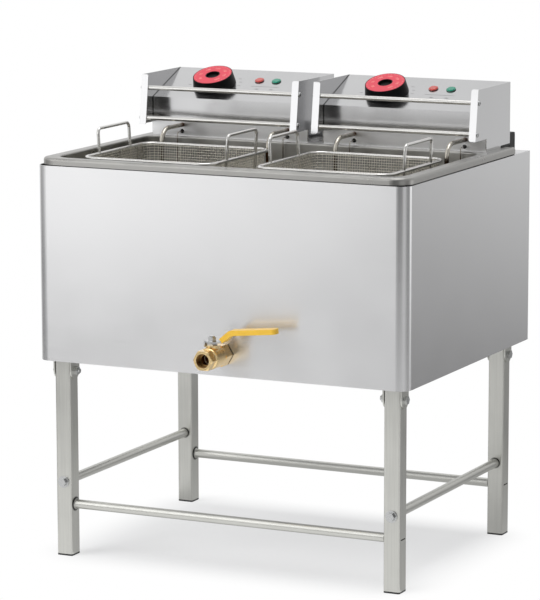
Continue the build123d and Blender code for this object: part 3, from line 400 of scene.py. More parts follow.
@finish("Phenolic, moulded brown, with steel capillary")
def control_cased(name, c):
    """A dull brown case in the head, and a thin grey tube painted brown as shade below the baskets' rims."""
    material, tree, shader = blank(name)
    place = object_place(tree)
    specks = noise(tree, place, 0.0012)
    case = calc(tree, "GREATER_THAN", split(tree, place, "Y"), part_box("left_element_plate")[0].y)
    brown = mixed(tree, specks, shaded(c.block, 0.8), shaded(c.block, 1.2))
    # Below the baskets' rims the capillary turns dark brown: painted shade
    tube = mixed(tree, rim_shade(tree, place), shaded(c.sheath, 0.78), shaded(c.tint, 0.5))
    feed(tree, shader, Base_Color=mixed(tree, case, tube, brown),
         Roughness=ranged(tree, specks, 0.0, 1.0, 0.28, 0.5), Metallic=calc(tree, "SUBTRACT", 1.0, case))
    return material


@finish("Nickel alloy sheath, heat tinted")
def sheath_tinted(name, c):
    """Heat tint near the exits, painted shade below the baskets' rims, and bare grey on the bends."""
    material, tree, shader = blank(name)
    place = object_place(tree)
    spots = noise(tree, place, 0.012)
    exit_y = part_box("left_element_plate")[0].y
    near = ranged(tree, split(tree, place, "Y"), exit_y - 0.022, exit_y - 0.004)
    blotch = ranged(tree, spots, 0.3, 0.7, 0.0, 0.3)
    bare = mixed(tree, calc(tree, "MAXIMUM", near, blotch), list(c.sheath), list(c.tint))
    # Below the baskets' rims the sheath turns dark brown: painted shade; its brown near the exits is heat tint
    feed(tree, shader, Base_Color=mixed(tree, rim_shade(tree, place), bare, shaded(c.tint, 0.5)),
         Roughness=ranged(tree, spots, 0.0, 1.0, 0.1, 0.26), Metallic=1.0)
    return material


def lens_moulded(name, base):
    """A clear colour over small cells, deeper at the edge where the wall is thick."""
    material, tree, shader = blank(name)
    edge = add(tree, "ShaderNodeLayerWeight", {"Blend": 0.35}).outputs["Facing"]
    cells = add(tree, "ShaderNodeTexVoronoi", {"Vector": object_place(tree), "Scale": 1 / 0.0022})
    bump = add(tree, "ShaderNodeBump",
               {"Height": cells.outputs["Distance"], "Strength": 0.25, "Distance": 0.0004}).outputs[0]
    feed(tree, shader, Base_Color=mixed(tree, edge, shaded(base, 1.25), shaded(base, 0.55)), Roughness=0.14,
         Normal=bump, IOR=1.58, Coat_Weight=0.4)
    return material


lens_red = finish("Polycarbonate lens, moulded red")(lambda name, c: lens_moulded(name, c.lamp_red))
lens_green = finish("Polycarbonate lens, moulded green")(lambda name, c: lens_moulded(name, c.lamp_green))


def paint(mesh, material):
    """Gives a mesh one material."""
    mesh.materials.clear()
    mesh.materials.append(material)


def dress(material, *names):
    """Gives CAD nodes a finish."""
    for name in names:
        paint(frame["nodes"][name].data, material)


def linked(data, name):
    """An object at the origin with the given data."""
    made = bpy.data.objects.new(name, data)
    bpy.context.scene.collection.objects.link(made)
    return made


def settle(made, body, slot, *replaced):
    """Lets a finished piece ride its body and stand for CAD nodes."""
    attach(made, body)
    if replaced:
        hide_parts(*replaced)


def shown_mesh(made):
    """A plain mesh of an object as it shows."""
    bpy.context.view_layer.update()
    graph = bpy.context.evaluated_depsgraph_get()
    return bpy.data.meshes.new_from_object(made.evaluated_get(graph))


def baked(points, tree, inputs):
    """An object with the plain mesh that a node tree makes of a mesh of points."""
    made = linked(points, points.name)
    modifier = made.modifiers.new("made", "NODES")
    modifier.node_group = tree
    for item in tree.interface.items_tree:
        if item.item_type == "SOCKET" and item.in_out == "INPUT" and item.name in inputs:
            modifier[item.identifier] = inputs[item.name]
    mesh = shown_mesh(made)
    made.modifiers.remove(modifier)
    made.data = mesh
    mesh.name = made.name
    return made


def new_tree(name, *inputs):
    """An empty geometry tree with named inputs, Material last, and the outputs of its input node."""
    tree = bpy.data.node_groups.new(name, "GeometryNodeTree")
    for label, kind in (("Geometry", "Geometry"), *inputs, ("Material", "Material")):
        tree.interface.new_socket(label, in_out="INPUT", socket_type="NodeSocket" + kind)
    tree.interface.new_socket("Geometry", in_out="OUTPUT", socket_type="NodeSocketGeometry")
    return tree, tree.nodes.new("NodeGroupInput").outputs


def end_tree(tree, geometry, material):
    """Ends a tree in Realize Instances and Set Material."""
    real = add(tree, "GeometryNodeRealizeInstances", {"Geometry": geometry}).outputs[0]
    painted = add(tree, "GeometryNodeSetMaterial", {"Geometry": real, "Material": material}).outputs[0]
    add(tree, "NodeGroupOutput", {"Geometry": painted})


def stored(tree, name):
    """A vector stored on each point."""
    return add(tree, "GeometryNodeInputNamedAttribute", {"Name": name}, data_type="FLOAT_VECTOR").outputs[0]


def cloth_tree():
    """Pushes each wire's line to and fro by the weave and makes it round."""
    found = bpy.data.node_groups.get("Woven wire")
    if found:
        return found
    tree, given = new_tree("Woven wire", ("Wire", "Float"), ("Sides", "Int"))
    half = calc(tree, "MULTIPLY", given["Wire"], 0.5)
    push = {0: stored(tree, "push"), "Scale": half}
    shift = add(tree, "ShaderNodeVectorMath", push, operation="SCALE").outputs[0]
    woven = add(tree, "GeometryNodeSetPosition", {"Geometry": given["Geometry"], "Offset": shift}).outputs[0]
    lines = add(tree, "GeometryNodeMeshToCurve", {"Mesh": woven}).outputs[0]
    ring = add(tree, "GeometryNodeCurvePrimitiveCircle", {"Resolution": given["Sides"], "Radius": half})
    sweep = {"Curve": lines, "Profile Curve": ring.outputs[0], "Fill Caps": True}
    end_tree(tree, add(tree, "GeometryNodeCurveToMesh", sweep).outputs[0], given["Material"])
    return tree


def repeat_tree():
    """Sets one small piece on every point, turned as the point says."""
    found = bpy.data.node_groups.get("Repeated piece")
    if found:
        return found
    tree, given = new_tree("Repeated piece", ("Piece", "Object"))
    way = add(tree, "FunctionNodeEulerToRotation", {0: stored(tree, "turn")}).outputs[0]
    piece = add(tree, "GeometryNodeObjectInfo", {"Object": given["Piece"]}).outputs["Geometry"]
    many = add(tree, "GeometryNodeInstanceOnPoints",
               {"Points": given["Geometry"], "Instance": piece, "Rotation": way}).outputs[0]
    end_tree(tree, many, given["Material"])
    return tree


def points_mesh(name, places, vectors, attribute, edges=()):
    """A mesh of points, each with a vector."""
    mesh = bpy.data.meshes.new(name)
    mesh.from_pydata([tuple(place) for place in places], list(edges), [])
    kept = mesh.attributes.new(attribute, "FLOAT_VECTOR", "POINT")
    kept.data.foreach_set("vector", [value for vector in vectors for value in vector])
    return mesh


def repeated(name, piece, matrices, material):
    """One mesh of the same small piece at many places."""
    places = [matrix.translation for matrix in matrices]
    turns = [tuple(matrix.to_euler()) for matrix in matrices]
    points = points_mesh(name, places, turns, "turn")
    made = baked(points, repeat_tree(), {"Piece": piece, "Material": material})
    bpy.data.objects.remove(piece)
    return made


def mesh_of(name, form):
    """A mesh with outward normals from a finished bmesh."""
    bmesh.ops.recalc_face_normals(form, faces=form.faces)
    mesh = bpy.data.meshes.new(name)
    form.to_mesh(mesh)
    form.free()
    return mesh


def solid_of(name, build, *given):
    """An object whose mesh is filled by a bmesh builder."""
    form = bmesh.new()
    build(form, *given)
    return linked(mesh_of(name, form), name)


def lathe(form, outline, steps):
    """Turns an outline of (radius, height) pairs about Z, from axis to axis or closed on itself."""
    rings = []
    for radius, height in outline:
        if radius == 0:
            rings.append([form.verts.new((0, 0, height))])
            continue
        angles = [2 * math.pi * step / steps for step in range(steps)]
        rings.append([form.verts.new((radius * math.cos(a), radius * math.sin(a), height)) for a in angles])
    pairs = list(zip(rings, rings[1:]))
    if len(rings[0]) > 1:
        pairs.append((rings[-1], rings[0]))
    for low, high in pairs:
        for step in range(steps):
            corners = [low[step % len(low)], low[(step + 1) % len(low)],
                       high[(step + 1) % len(high)], high[step % len(high)]]
            form.faces.new(list(dict.fromkeys(corners)))


def bar(form, size_x, size_y, size_z):
    """A small bar with its middle at the origin."""
    bmesh.ops.create_cube(form, size=1.0, matrix=Matrix.Diagonal((size_x, size_y, size_z, 1.0)))


def panel_axes(side):
    """Middle of a knob on its sloping panel, with the directions across, up and out of the panel."""
    joint = JOINTS[side + "_knob_turn"]
    out = Vector(joint["axis"]).normalized()
    return Vector(joint["pos_m"]), Vector((1, 0, 0)), Vector((0, out.z, -out.y)), out


def panel_matrix(side, across=0.0, up=0.0, out=0.0, turn=0.0):
    """Place on a sloping panel, measured from the knob's middle."""
    middle, x_axis, y_axis, z_axis = panel_axes(side)
    axes = Matrix((x_axis, y_axis, z_axis)).transposed().to_4x4()
    place = middle + x_axis * across + y_axis * up + z_axis * out
    return Matrix.Translation(place) @ axes @ Matrix.Rotation(turn, 4, "Z")


def panel_reach(side, node):
    """Lowest and highest of a node across, up and out of the panel, from the knob's middle."""
    middle, *axes = panel_axes(side)
    points = [vertex.co - middle for vertex in frame["nodes"][node].data.vertices]
    return [(min(p.dot(axis) for p in points), max(p.dot(axis) for p in points)) for axis in axes]


def outline_end(across, half_along, half_across, corner):
    """Where a straight wire meets the basket's rounded outline, and the way out of the wall there."""
    over = abs(across) - (half_across - corner)
    if over <= 0:
        return half_along, (1.0, 0.0)
    run = math.sqrt(max(0.0, corner ** 2 - over ** 2))
    return half_along - corner + run, (run / corner, math.copysign(over / corner, across))


def cloth_lines(node, sizes):
    """Middle lines of a basket's woven wires: points, edges, and the weave's push at each point."""
    low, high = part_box(node)
    skin = sizes.mesh_wire / 2
    taper, bend, pitch = sizes.mesh_taper, sizes.mesh_bend, sizes.mesh_pitch
    middle = (low + high) / 2
    half = [(high[axis] - low[axis]) / 2 - taper - skin for axis in (0, 1)]
    corner = sizes.mesh_corner - taper - skin
    floor_z, top_z = low.z + skin, high.z
    rise = top_z - floor_z
    count = [2 * round((side - pitch / 2) / pitch) for side in half[::-1]]
    rows = [[(step - (number - 1) / 2) * pitch for step in range(number)] for number in count]
    levels = [floor_z + bend + pitch * (step + 0.5) for step in range(int((rise - bend) / pitch))]
    bend_shares = (0.0, 0.293, 0.707)
    base = middle.xy.to_3d()
    places, pushes, edges = [], [], []

    def turned(way, along, across):
        """Places along and across a wire, as X and Y."""
        return (across, along) if way else (along, across)

    def draw(line, closed=False):
        """Keeps a line of places and pushes."""
        first = len(places)
        for place, push in line:
            places.append(base + Vector(place))
            pushes.append(push)
        edges.extend((first + step, first + step + 1) for step in range(len(line) - 1))
        if closed:
            edges.append((len(places) - 1, first))

    ends = []
    for way in (0, 1):
        for row, across in enumerate(rows[way]):
            end, out = outline_end(across, half[way], half[1 - way], corner)
            for sign in (-1, 1):
                foot = turned(way, sign * end, across)
                normal = turned(way, sign * out[0], out[1])
                angle = math.atan2(foot[1] / half[1], foot[0] / half[0])
                ends.append((angle, foot, normal, (way, row, sign)))
    ends.sort()
    order = {key: place for place, (_, _, _, key) in enumerate(ends)}

    def off_wall(foot, normal, distance, height):
        """A place out of a wall's foot by a distance, at a height."""
        return foot[0] + normal[0] * distance, foot[1] + normal[1] * distance, height

    def crossing(foot, normal, level, side):
        """Where an upright and a level wire cross, and to which side the wire is pushed."""
        lean = taper * (level - floor_z) / rise
        return off_wall(foot, normal, lean, level), (normal[0] * side, normal[1] * side, 0)

    def wall(place):
        """Points up a wall from its bend to the rim, over and under the level wires."""
        _, foot, normal, _ = ends[place]
        line = []
        for share in bend_shares:
            inside = bend * (1 - math.sin(math.acos(1 - share)))
            line.append((off_wall(foot, normal, -inside, floor_z + bend * share), (0, 0, 0)))
        for step, level in enumerate(levels):
            line.append(crossing(foot, normal, level, -1 if (place + step) % 2 else 1))
        line.append((off_wall(foot, normal, taper, top_z), (0, 0, 0)))
        return line

    for way in (0, 1):
        for row, across in enumerate(rows[way]):
            end, _ = outline_end(across, half[way], half[1 - way], corner)
            flat = []
            for column, along in enumerate(rows[1 - way]):
                if abs(along) < end - bend:
                    over = 1 if (row + column + way) % 2 else -1
                    flat.append((turned(way, along, across) + (floor_z,), (0, 0, over)))
            walls = [wall(order[(way, row, sign)]) for sign in (-1, 1)]
            draw(walls[0][::-1] + flat + walls[1])
    for step, level in enumerate(levels):
        draw([crossing(foot, normal, level, 1 if (place + step) % 2 else -1)
              for place, (_, foot, normal, _) in enumerate(ends)], closed=True)
    return places, pushes, edges


class FRYER_OT_housing(bpy.types.Operator):
    """Brushed sheet of the jacket, rear panel and base, and the drawn tank"""
    bl_idname = "fryer.housing"
    bl_label = "Housing and tank"

    def execute(self, context):
        dress(sheet_level(), "jacket", "rear_panel")
        dress(sheet_across(), "base_pan")
        dress(tank_drawn(), "tank")
        return {"FINISHED"}


class FRYER_OT_legs(bpy.types.Operator):
    """Satin legs and stretchers with their bolts, brackets and plugs"""
    bl_idname = "fryer.legs"
    bl_label = "Legs and stretchers"

    def execute(self, context):
        dress(tube_jointed(), *[f"leg_{end}_{side}" for end in ("front", "rear") for side in SIDES])
        dress(tube_satin(), "leg_brackets")
        dress(bar_satin(), *[f"stretcher_{name}" for name in ("front", "rear", "left", "right")])
        dress(zinc_plated(), "stretcher_bolts", "leg_bolts")
        dress(plastic_moulded(), "foot_plugs")
        dress(rubber_moulded(), "head_rests")
        return {"FINISHED"}


class FRYER_OT_valve(bpy.types.Operator):
    """Brass drain valve with its plated lever and yellow sleeve"""
    bl_idname = "fryer.valve"
    bl_label = "Drain valve"

    def execute(self, context):
        dress(brass_machined(), "valve_body")
        dress(brass_bored(), "valve_end")
        dress(ball_chromed(), "valve_ball")
        dress(ptfe_turned(), "valve_seats")
        dress(zinc_plated(), "drain_lever", "lever_nut", "packing_nut", "valve_stem")
        dress(vinyl_dipped(), "lever_sleeve")
        return {"FINISHED"}


class FRYER_OT_heads(bpy.types.Operator):
    """Brushed heads with their rods, elements and controls"""
    bl_idname = "fryer.heads"
    bl_label = "Heads"

    def execute(self, context):
        for side in SIDES:
            dress(sheet_fine(), side + "_head_cheeks", side + "_head_back")
            dress(panel_seam_shaded(), side + "_head_panel")
            dress(sheet_across(), side + "_element_plate")
            dress(wire_drawn(), side + "_basket_rods")
            dress(sheath_tinted(), side + "_element")
            dress(zinc_plated(), side + "_element_nuts")
            dress(control_cased(), side + "_thermostat", side + "_high_limit")
            dress(plastic_moulded(), side + "_cable_gland")
        return {"FINISHED"}


class FRYER_OT_screws(bpy.types.Operator):
    """Domed cross-head screws at the ends of the basket rods"""
    bl_idname = "fryer.screws"
    bl_label = "Rod screws"

    head_height = 0.003
    shank_length = 0.011
    shank_radius = 0.0019
    # The domed head's outline as shares of its radius and height, from the middle out
    dome = ((0.0, 0.0), (0.35, 0.03), (0.7, 0.18), (0.93, 0.5), (1.0, 1.0))
    # Length, width and depth of the cross's slots as shares of the same
    slot = (1.1, 0.24, 1.1)
    steps = 28

    def execute(self, context):
        for side in SIDES:
            node = side + "_rod_screws"
            low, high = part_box(node)
            middle = (low + high) / 2
            points = [vertex.co for vertex in frame["nodes"][node].data.vertices]
            matrices = []
            for right in (False, True):
                for upper in (False, True):
                    own = [p for p in points if (p.x > middle.x) == right and (p.z > middle.z) == upper]
                    y = (min(p.y for p in own) + max(p.y for p in own)) / 2
                    z = (min(p.z for p in own) + max(p.z for p in own)) / 2
                    turn = Matrix.Rotation(math.pi / 2 if right else -math.pi / 2, 4, "Y")
                    matrices.append(Matrix.Translation((high.x if right else low.x, y, z)) @ turn)
            made = repeated(node + "_cross", self.screw(high.z - z), matrices, zinc_plated())
            settle(made, side + "_head", "fastener", node)
        return {"FINISHED"}

    def screw(self, radius):
        """A pan-head screw whose head's top is at the origin, with a cross recess."""
        height, thin = self.head_height, self.shank_radius
        outline = [(radius * share, -height * drop) for share, drop in self.dome]
        foot = -height - self.shank_length
        outline += [(thin, -height), (thin, foot), (0.0, foot)]
        head = solid_of("screw", lathe, outline, self.steps)
        long, wide, deep = self.slot[0] * radius, self.slot[1] * radius, self.slot[2] * height
        for size in ((long, wide), (wide, long)):
            cutter = solid_of("recess", bar, *size, deep)
            cut = head.modifiers.new("recess", "BOOLEAN")
            cut.object = cutter
            cut.operation = "DIFFERENCE"
            head.data = shown_mesh(head)
            head.modifiers.clear()
            bpy.data.objects.remove(cutter)
        return head


class FRYER_OT_dials(bpy.types.Operator):
    """Black knobs with red faces, numbers and ticks"""
    bl_idname = "fryer.dials"
    bl_label = "Dials"

    numbers = ("50", "75", "100", "125", "150", "175", "200")
    # Where the first number stands, and how far round the last one is, in degrees
    first, sweep = 225, 270
    ticks_per_number = 4
    print_height = 0.00006
    tick = (0.0028, 0.0006, 0.00012)

    def execute(self, context):
        s = context.scene.fryer_sizes
        for side in SIDES:
            dress(knob_moulded(), side + "_knob")
            dress(face_printed(), side + "_knob_face")
            top = panel_reach(side, side + "_knob_face")[2][1] + PRINT_LIFT
            self.print_numbers(side, top, s, ink_pale())
            self.print_ticks(side, top, s, ink_pale())
        return {"FINISHED"}

    def angle(self, step):
        """Turn of a place on the dial, in steps from the first number."""
        return math.radians(self.first - self.sweep * step / (len(self.numbers) - 1))

    def print_numbers(self, side, top, sizes, material):
        """The dial's numbers as thin raised print, tops outwards."""
        form = bmesh.new()
        for step, number in enumerate(self.numbers):
            curve = bpy.data.curves.new("number", "FONT")
            curve.body = number
            curve.size = sizes.number_height
            curve.align_x = curve.align_y = "CENTER"
            curve.extrude = self.print_height
            writing = linked(curve, "number")
            mesh = shown_mesh(writing)
            mesh.transform(panel_matrix(side, out=top, turn=self.angle(step) - math.pi / 2)
                           @ Matrix.Translation((0, sizes.number_ring, 0)))
            form.from_mesh(mesh)
            bpy.data.objects.remove(writing)
        bmesh.ops.remove_doubles(form, verts=form.verts, dist=1e-7)
        name = side + "_dial_numbers"
        made = linked(mesh_of(name, form), name)
        paint(made.data, material)
        settle(made, side + "_dial", "knob_red")

    def print_ticks(self, side, top, sizes, material):
        """Short ticks around the edge of the dial."""
        out = Matrix.Translation((sizes.tick_ring, 0, 0))
        matrices = [panel_matrix(side, out=top, turn=self.angle(step / self.ticks_per_number)) @ out
                    for step in range(self.ticks_per_number * (len(self.numbers) - 1) + 1)]
        tick = solid_of("tick", bar, *self.tick)
        made = repeated(side + "_dial_ticks", tick, matrices, material)
        settle(made, side + "_dial", "knob_red")


class FRYER_OT_lamps(bpy.types.Operator):
    """Pilot lamps with dark bezels, and the marks printed beside the dials"""
    bl_idname = "fryer.lamps"
    bl_label = "Lamps and panel marks"

    # Reach of a bezel past its lens, heights of its edge and its top, and steps round it
    bezel_past, bezel_edge, bezel_top, bezel_steps = 0.0003, 0.0008, 0.0013, 40
    # Dashes around a dial: radius, and turns in degrees
    ring_radius, ring_turns = 0.0485, (2, 18, 35, 184)
    # Line below the lamps: start, step and number of its dashes, and its place up the panel
    line_start, line_step, line_count, line_up = 0.0765, 0.0062, 9, 0.0012
    # Double dashes under the line: places across, and up
    pair_across, pair_up = (0.089, 0.118), (-0.0082, -0.01)
    dash_width, dash_height = 0.0007, 0.0001

    def execute(self, context):
        s = context.scene.fryer_sizes
        for side in SIDES:
            matrices = []
            for lamp, lens in (("_lamp_red", lens_red()), ("_lamp_green", lens_green())):
                dress(lens, side + lamp)
                across, up, _ = panel_reach(side, side + lamp)
                matrices.append(panel_matrix(side, (across[0] + across[1]) / 2, (up[0] + up[1]) / 2))
            radius = (across[1] - across[0]) / 2
            outer, inner = radius + self.bezel_past, radius - s.bezel_wall
            outline = [(outer, 0.0), (outer, self.bezel_edge), (radius, self.bezel_top),
                       (inner, self.bezel_top), (inner, 0.0)]
            ring = solid_of("bezel", lathe, outline, self.bezel_steps)
            made = repeated(side + "_lamp_bezels", ring, matrices, plastic_moulded())
            settle(made, side + "_head", "black_plastic")
            self.print_marks(side, s, ink_grey())
        return {"FINISHED"}

    def print_marks(self, side, sizes, material):
        """Short dashes beside the dial, a thin line below the lamps and two double dashes under it."""
        turns = map(math.radians, self.ring_turns)
        spots = [(self.ring_radius * math.cos(turn), self.ring_radius * math.sin(turn)) for turn in turns]
        spots += [(self.line_start + self.line_step * step, self.line_up) for step in range(self.line_count)]
        spots += [(across, up) for across in self.pair_across for up in self.pair_up]
        matrices = [panel_matrix(side, across, up, MARK_LIFT) for across, up in spots]
        dash = solid_of("dash", bar, sizes.dash, self.dash_width, self.dash_height)
        made = repeated(side + "_panel_marks", dash, matrices, material)
        settle(made, side + "_head", "stainless")


class FRYER_OT_baskets(bpy.types.Operator):
    """Woven wire baskets on their drawn wire frames"""
    bl_idname = "fryer.baskets"
    bl_label = "Baskets"

    wire_sides = 4

    def execute(self, context):
        s = context.scene.fryer_sizes
        for side in SIDES:
            dress(wire_drawn(), side + "_basket_frame")
            node = side + "_basket_mesh"
            dress(cloth_woven(), node)
            places, pushes, edges = cloth_lines(node, s)
            points = points_mesh(side + "_basket_cloth", places, pushes, "push", edges)
            inputs = {"Wire": s.mesh_wire, "Sides": self.wire_sides, "Material": cloth_woven()}
            settle(baked(points, cloth_tree(), inputs), side + "_basket", "mesh", node)
        return {"FINISHED"}


WORLD_LIGHT = 0.55
FLOOR_SIZE = 60
# The floor's shadow: how far inside the feet it starts to fade, over what length, and its share of white
SHADOW_INSET, SHADOW_FADE, SHADOW_WHITE = 0.06, 0.13, 0.5
# Name, place, size and power of each lamp, and the height that they aim at
LAMPS = (("key", (-2.6, -3.0, 3.6), 2.6, 105), ("top", (0.6, 0.4, 4.4), 3.4, 60))
LAMP_AIM = 0.45
# Corners of the card's two faces, its height, the distances where it darkens and its greys there
CARD_FACES = (((-0.36, -0.2), (1.3, -0.2), (1.3, 1.7), (-0.36, 1.7)),
              ((-0.37, 0.25), (-0.5, 0.25), (-1.16, -0.92), (-0.92, -0.92)))
CARD_HEIGHT = 0.002
CARD_TONE = (0.3, 1.6, 0.56, 0.2)
TENT_RADIUS, TENT_HEIGHT, TENT_SIDES = 1.8, 5.0, 96
# Greys of the tent by direction in degrees: at the floor, beside the housing, and above its middle
TENT_FOOT = {4: 0.3, 25: 0.36, 36: 0.34, 60: 0.35, 90: 0.46, 130: 0.52, 180: 0.16, 215: 0.12, 236: 0.22,
             258: 0.22, 270: 0.3, 281: 0.34, 294: 0.4, 319: 0.46, 332: 0.4, 346: 0.28}
TENT_WALLS = {4: 0.3, 14: 0.95, 25: 1.8, 36: 0.6, 51: 0.52, 60: 0.62, 90: 0.72, 130: 0.78, 180: 0.32,
              215: 0.48, 236: 1.41, 258: 1.03, 270: 0.55, 281: 0.4, 294: 0.5, 306: 0.58, 319: 0.66, 332: 0.66,
              346: 0.3}
TENT_UPPER = {**TENT_WALLS, 180: 0.4, 215: 0.72, 236: 2.05, 258: 1.54, 270: 0.4, 281: 0.18, 294: 0.2, 306: 0.3}
# Heights from which and by which each band of the tent takes over, and its greys
TENT_BANDS = (
    (0.06, 0.42, TENT_WALLS),
    (0.36, 0.44, TENT_UPPER),
    (0.46, 0.51, {**TENT_UPPER, 51: 0.6, 60: 0.72, 215: 0.65, 236: 1.0, 258: 0.74, 281: 0.05, 294: 0.05,
                  306: 0.05}),
    (0.72, 0.88, {0: 0.5, 60: 0.75, 130: 0.9, 180: 0.6, 215: 0.8, 225: 1.6, 265: 1.6, 275: 0.3, 316: 0.3,
                  326: 0.5}),
    (1.12, 1.3, {0: 0.5, 60: 0.75, 130: 0.94, 180: 0.6, 215: 0.7, 236: 0.8, 258: 0.62, 264: 0.5, 300: 0.5}),
)
# The camera's place, its turns in degrees, sensor and lens in millimetres, shifts and reach
CAMERA_PLACE = (2.4738, -5.1755, 1.4099)
CAMERA_YAW, CAMERA_PITCH, CAMERA_ROLL = 25.59, 10.24, -0.096
CAMERA_SENSOR, CAMERA_LENS = 36.0, 198.48
CAMERA_SHIFT = (-0.0087, 0.0678)
CAMERA_REACH = 200.0


def seen_directly(tree):
    """1 for rays from the camera, a mirror or glass, and 0 for light on dull surfaces."""
    path = add(tree, "ShaderNodeLightPath").outputs
    shiny = calc(tree, "MAXIMUM", path["Is Camera Ray"], path["Is Glossy Ray"])
    return calc(tree, "MAXIMUM", shiny, path["Is Transmission Ray"])


def set_world(scene):
    """White background to the eye, softer light on the object."""
    world = bpy.data.worlds.new("studio")
    world.use_nodes = True
    tree = world.node_tree
    tree.nodes.clear()
    white = add(tree, "ShaderNodeBackground", {"Color": (1, 1, 1, 1), "Strength": 1.0}).outputs[0]
    soft = add(tree, "ShaderNodeBackground", {"Color": linear("#F4F6FA"), "Strength": WORLD_LIGHT}).outputs[0]
    both = add(tree, "ShaderNodeMixShader", {0: seen_directly(tree), 1: soft, 2: white}).outputs[0]
    add(tree, "ShaderNodeOutputWorld", {"Surface": both})
    scene.world = world


def paint_stage(piece, name, surface):
    """Gives a stage piece a surface built in an empty tree."""
    material, tree, _ = blank(name)
    tree.nodes.clear()
    add(tree, "ShaderNodeOutputMaterial", {"Surface": surface(tree)})
    paint(piece.data, material)


def lay_floor():
    """Pale floor that keeps the soft shadow between the legs and turns white away from it."""
    def sheet(form):
        bmesh.ops.create_grid(form, x_segments=1, y_segments=1, size=FLOOR_SIZE)
    floor = solid_of("floor", sheet)
    paint_stage(floor, "Paper floor, matt white", floor_surface)


def floor_surface(tree):
    """Matt paper near the feet, plain white beyond."""
    low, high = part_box("foot_plugs")
    middle, half = (low + high) / 2, (high - low) / 2
    inner = (half.x - SHADOW_INSET, half.y - SHADOW_INSET, 0)
    off = calc_vector(tree, "SUBTRACT", object_place(tree), (middle.x, middle.y, 0))
    over = calc_vector(tree, "SUBTRACT", calc_vector(tree, "ABSOLUTE", off), inner)
    far = size_of(tree, calc_vector(tree, "MAXIMUM", over, (0, 0, 0)))
    share = ranged(tree, far, 0.0, SHADOW_FADE, SHADOW_WHITE, 1.0, interpolation_type="SMOOTHSTEP")
    shown = calc(tree, "MULTIPLY", share, seen_directly(tree))
    paper = add(tree, "ShaderNodeBsdfDiffuse", {"Color": linear("#F4F4F4")}).outputs[0]
    white = add(tree, "ShaderNodeEmission", {"Color": (1, 1, 1, 1), "Strength": 1.0}).outputs[0]
    return add(tree, "ShaderNodeMixShader", {0: shown, 1: paper, 2: white}).outputs[0]


def hide_but_shine(piece, name, tone):
    """Gives a stage piece a glow of its own that only mirrors see."""
    def glow(tree):
        return add(tree, "ShaderNodeEmission", {"Color": tone(tree), "Strength": 1.0}).outputs[0]
    paint_stage(piece, name, glow)
    for ray in ("camera", "diffuse", "shadow", "transmission"):
        setattr(piece, "visible_" + ray, False)


def lay_card():
    """A grey card under and behind the fryer, seen only by shiny surfaces: painted floor shade for the legs'
    sides.
    """
    def sheet(form):
        for face in CARD_FACES:
            form.faces.new([form.verts.new((x, y, CARD_HEIGHT)) for x, y in face])
    hide_but_shine(solid_of("card", sheet), "Card, matt grey", card_tone)


def card_tone(tree):
    """Brightness of the card, less away from the fryer."""
    return ranged(tree, size_of(tree, object_place(tree)), *CARD_TONE)


def raise_tent():
    """A round screen whose brightness differs round about, as a room's walls and cards do."""
    def wall(form):
        bmesh.ops.create_cone(
            form, cap_ends=False, segments=TENT_SIDES, radius1=TENT_RADIUS, radius2=TENT_RADIUS,
            depth=TENT_HEIGHT, matrix=Matrix.Translation((0, 0, TENT_HEIGHT / 2)))
    hide_but_shine(solid_of("tent", wall), "Tent cloth, lit from outside", tent_tone)


def tent_tone(tree):
    """Brightness of the tent by direction and height."""
    parts = add(tree, "ShaderNodeSeparateXYZ", {"Vector": object_place(tree)}).outputs
    share = ranged(tree, calc(tree, "ARCTAN2", parts["Y"], parts["X"]), -math.pi, math.pi)
    tone = around(tree, share, TENT_FOOT)
    for bottom, top, tones in TENT_BANDS:
        tone = mixed(tree, ranged(tree, parts["Z"], bottom, top), tone, around(tree, share, tones))
    return tone


def around(tree, share, tones):
    """Grey by direction: a ramp from stops given in degrees from +X, turning left."""
    stops = sorted(((degrees + 180) % 360 / 360, tone) for degrees, tone in tones.items())
    ramp = add(tree, "ShaderNodeValToRGB", {"Fac": share})
    elements = ramp.color_ramp.elements
    while len(elements) < len(stops):
        elements.new(0.5)
    for element, (position, tone) in zip(elements, stops):
        element.position = position
        element.color = (tone, tone, tone, 1)
    return ramp.outputs[0]


def hang_lamp(name, place, size, power):
    """A square soft box aimed at the fryer."""
    light = bpy.data.lights.new(name, "AREA")
    light.shape = "SQUARE"
    light.size = size
    light.energy = power
    lamp = linked(light, name)
    lamp.location = place
    aim = Vector((0, 0, LAMP_AIM)) - Vector(place)
    lamp.rotation_euler = aim.to_track_quat("-Z", "Y").to_euler()


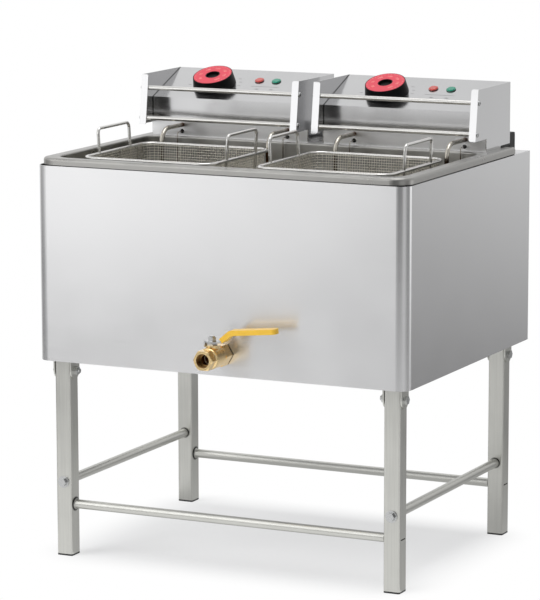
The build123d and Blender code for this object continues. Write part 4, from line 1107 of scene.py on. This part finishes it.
def place_camera(scene):
    """A long lens from the front right, a little above."""
    yaw, pitch, roll = map(math.radians, (CAMERA_YAW, CAMERA_PITCH, CAMERA_ROLL))
    ahead = Vector((-math.sin(yaw) * math.cos(pitch), math.cos(yaw) * math.cos(pitch), -math.sin(pitch)))
    right = Vector((math.cos(yaw), math.sin(yaw), 0))
    axes = Matrix((right, right.cross(ahead), -ahead)).transposed().to_4x4()
    data = bpy.data.cameras.new("camera")
    data.sensor_width = CAMERA_SENSOR
    data.lens = CAMERA_LENS
    data.shift_x, data.shift_y = CAMERA_SHIFT
    data.clip_end = CAMERA_REACH
    camera = linked(data, "camera")
    camera.matrix_world = Matrix.Translation(CAMERA_PLACE) @ axes @ Matrix.Rotation(roll, 4, "Z")
    scene.camera = camera


class FRYER_OT_stage(bpy.types.Operator):
    """Pale floor, soft lamps, a tent that only shiny surfaces see, and the camera"""
    bl_idname = "fryer.stage"
    bl_label = "Stage and camera"

    def execute(self, context):
        context.scene.view_settings.view_transform = "Standard"
        set_world(context.scene)
        lay_floor()
        raise_tent()
        lay_card()
        for lamp in LAMPS:
            hang_lamp(*lamp)
        place_camera(context.scene)
        return {"FINISHED"}


OPERATORS = (FRYER_OT_housing, FRYER_OT_legs, FRYER_OT_valve, FRYER_OT_heads, FRYER_OT_screws, FRYER_OT_dials,
             FRYER_OT_lamps, FRYER_OT_baskets, FRYER_OT_stage)


class FRYER_PT_steps(bpy.types.Panel):
    """The fryer's making, step by step"""
    bl_idname = "FRYER_PT_steps"
    bl_label = "Floor deep fryer"
    bl_space_type = "VIEW_3D"
    bl_region_type = "UI"
    bl_category = "Fryer"

    def draw(self, context):
        for step in OPERATORS:
            self.layout.operator(step.bl_idname)
        for group in (context.scene.fryer_sizes, context.scene.fryer_colours):
            for name in group.__annotations__:
                self.layout.prop(group, name)


CLASSES = (FryerColours, FryerSizes, FRYER_PT_steps) + OPERATORS


def register():
    for made in CLASSES:
        bpy.utils.register_class(made)
    bpy.types.Scene.fryer_colours = bpy.props.PointerProperty(type=FryerColours)
    bpy.types.Scene.fryer_sizes = bpy.props.PointerProperty(type=FryerSizes)


def unregister():
    del bpy.types.Scene.fryer_sizes
    del bpy.types.Scene.fryer_colours
    for made in reversed(CLASSES):
        bpy.utils.unregister_class(made)


def main():
    register()
    for step in OPERATORS:
        group, name = step.bl_idname.split(".")
        getattr(getattr(bpy.ops, group), name)()


if __name__ == "__main__":
    main()
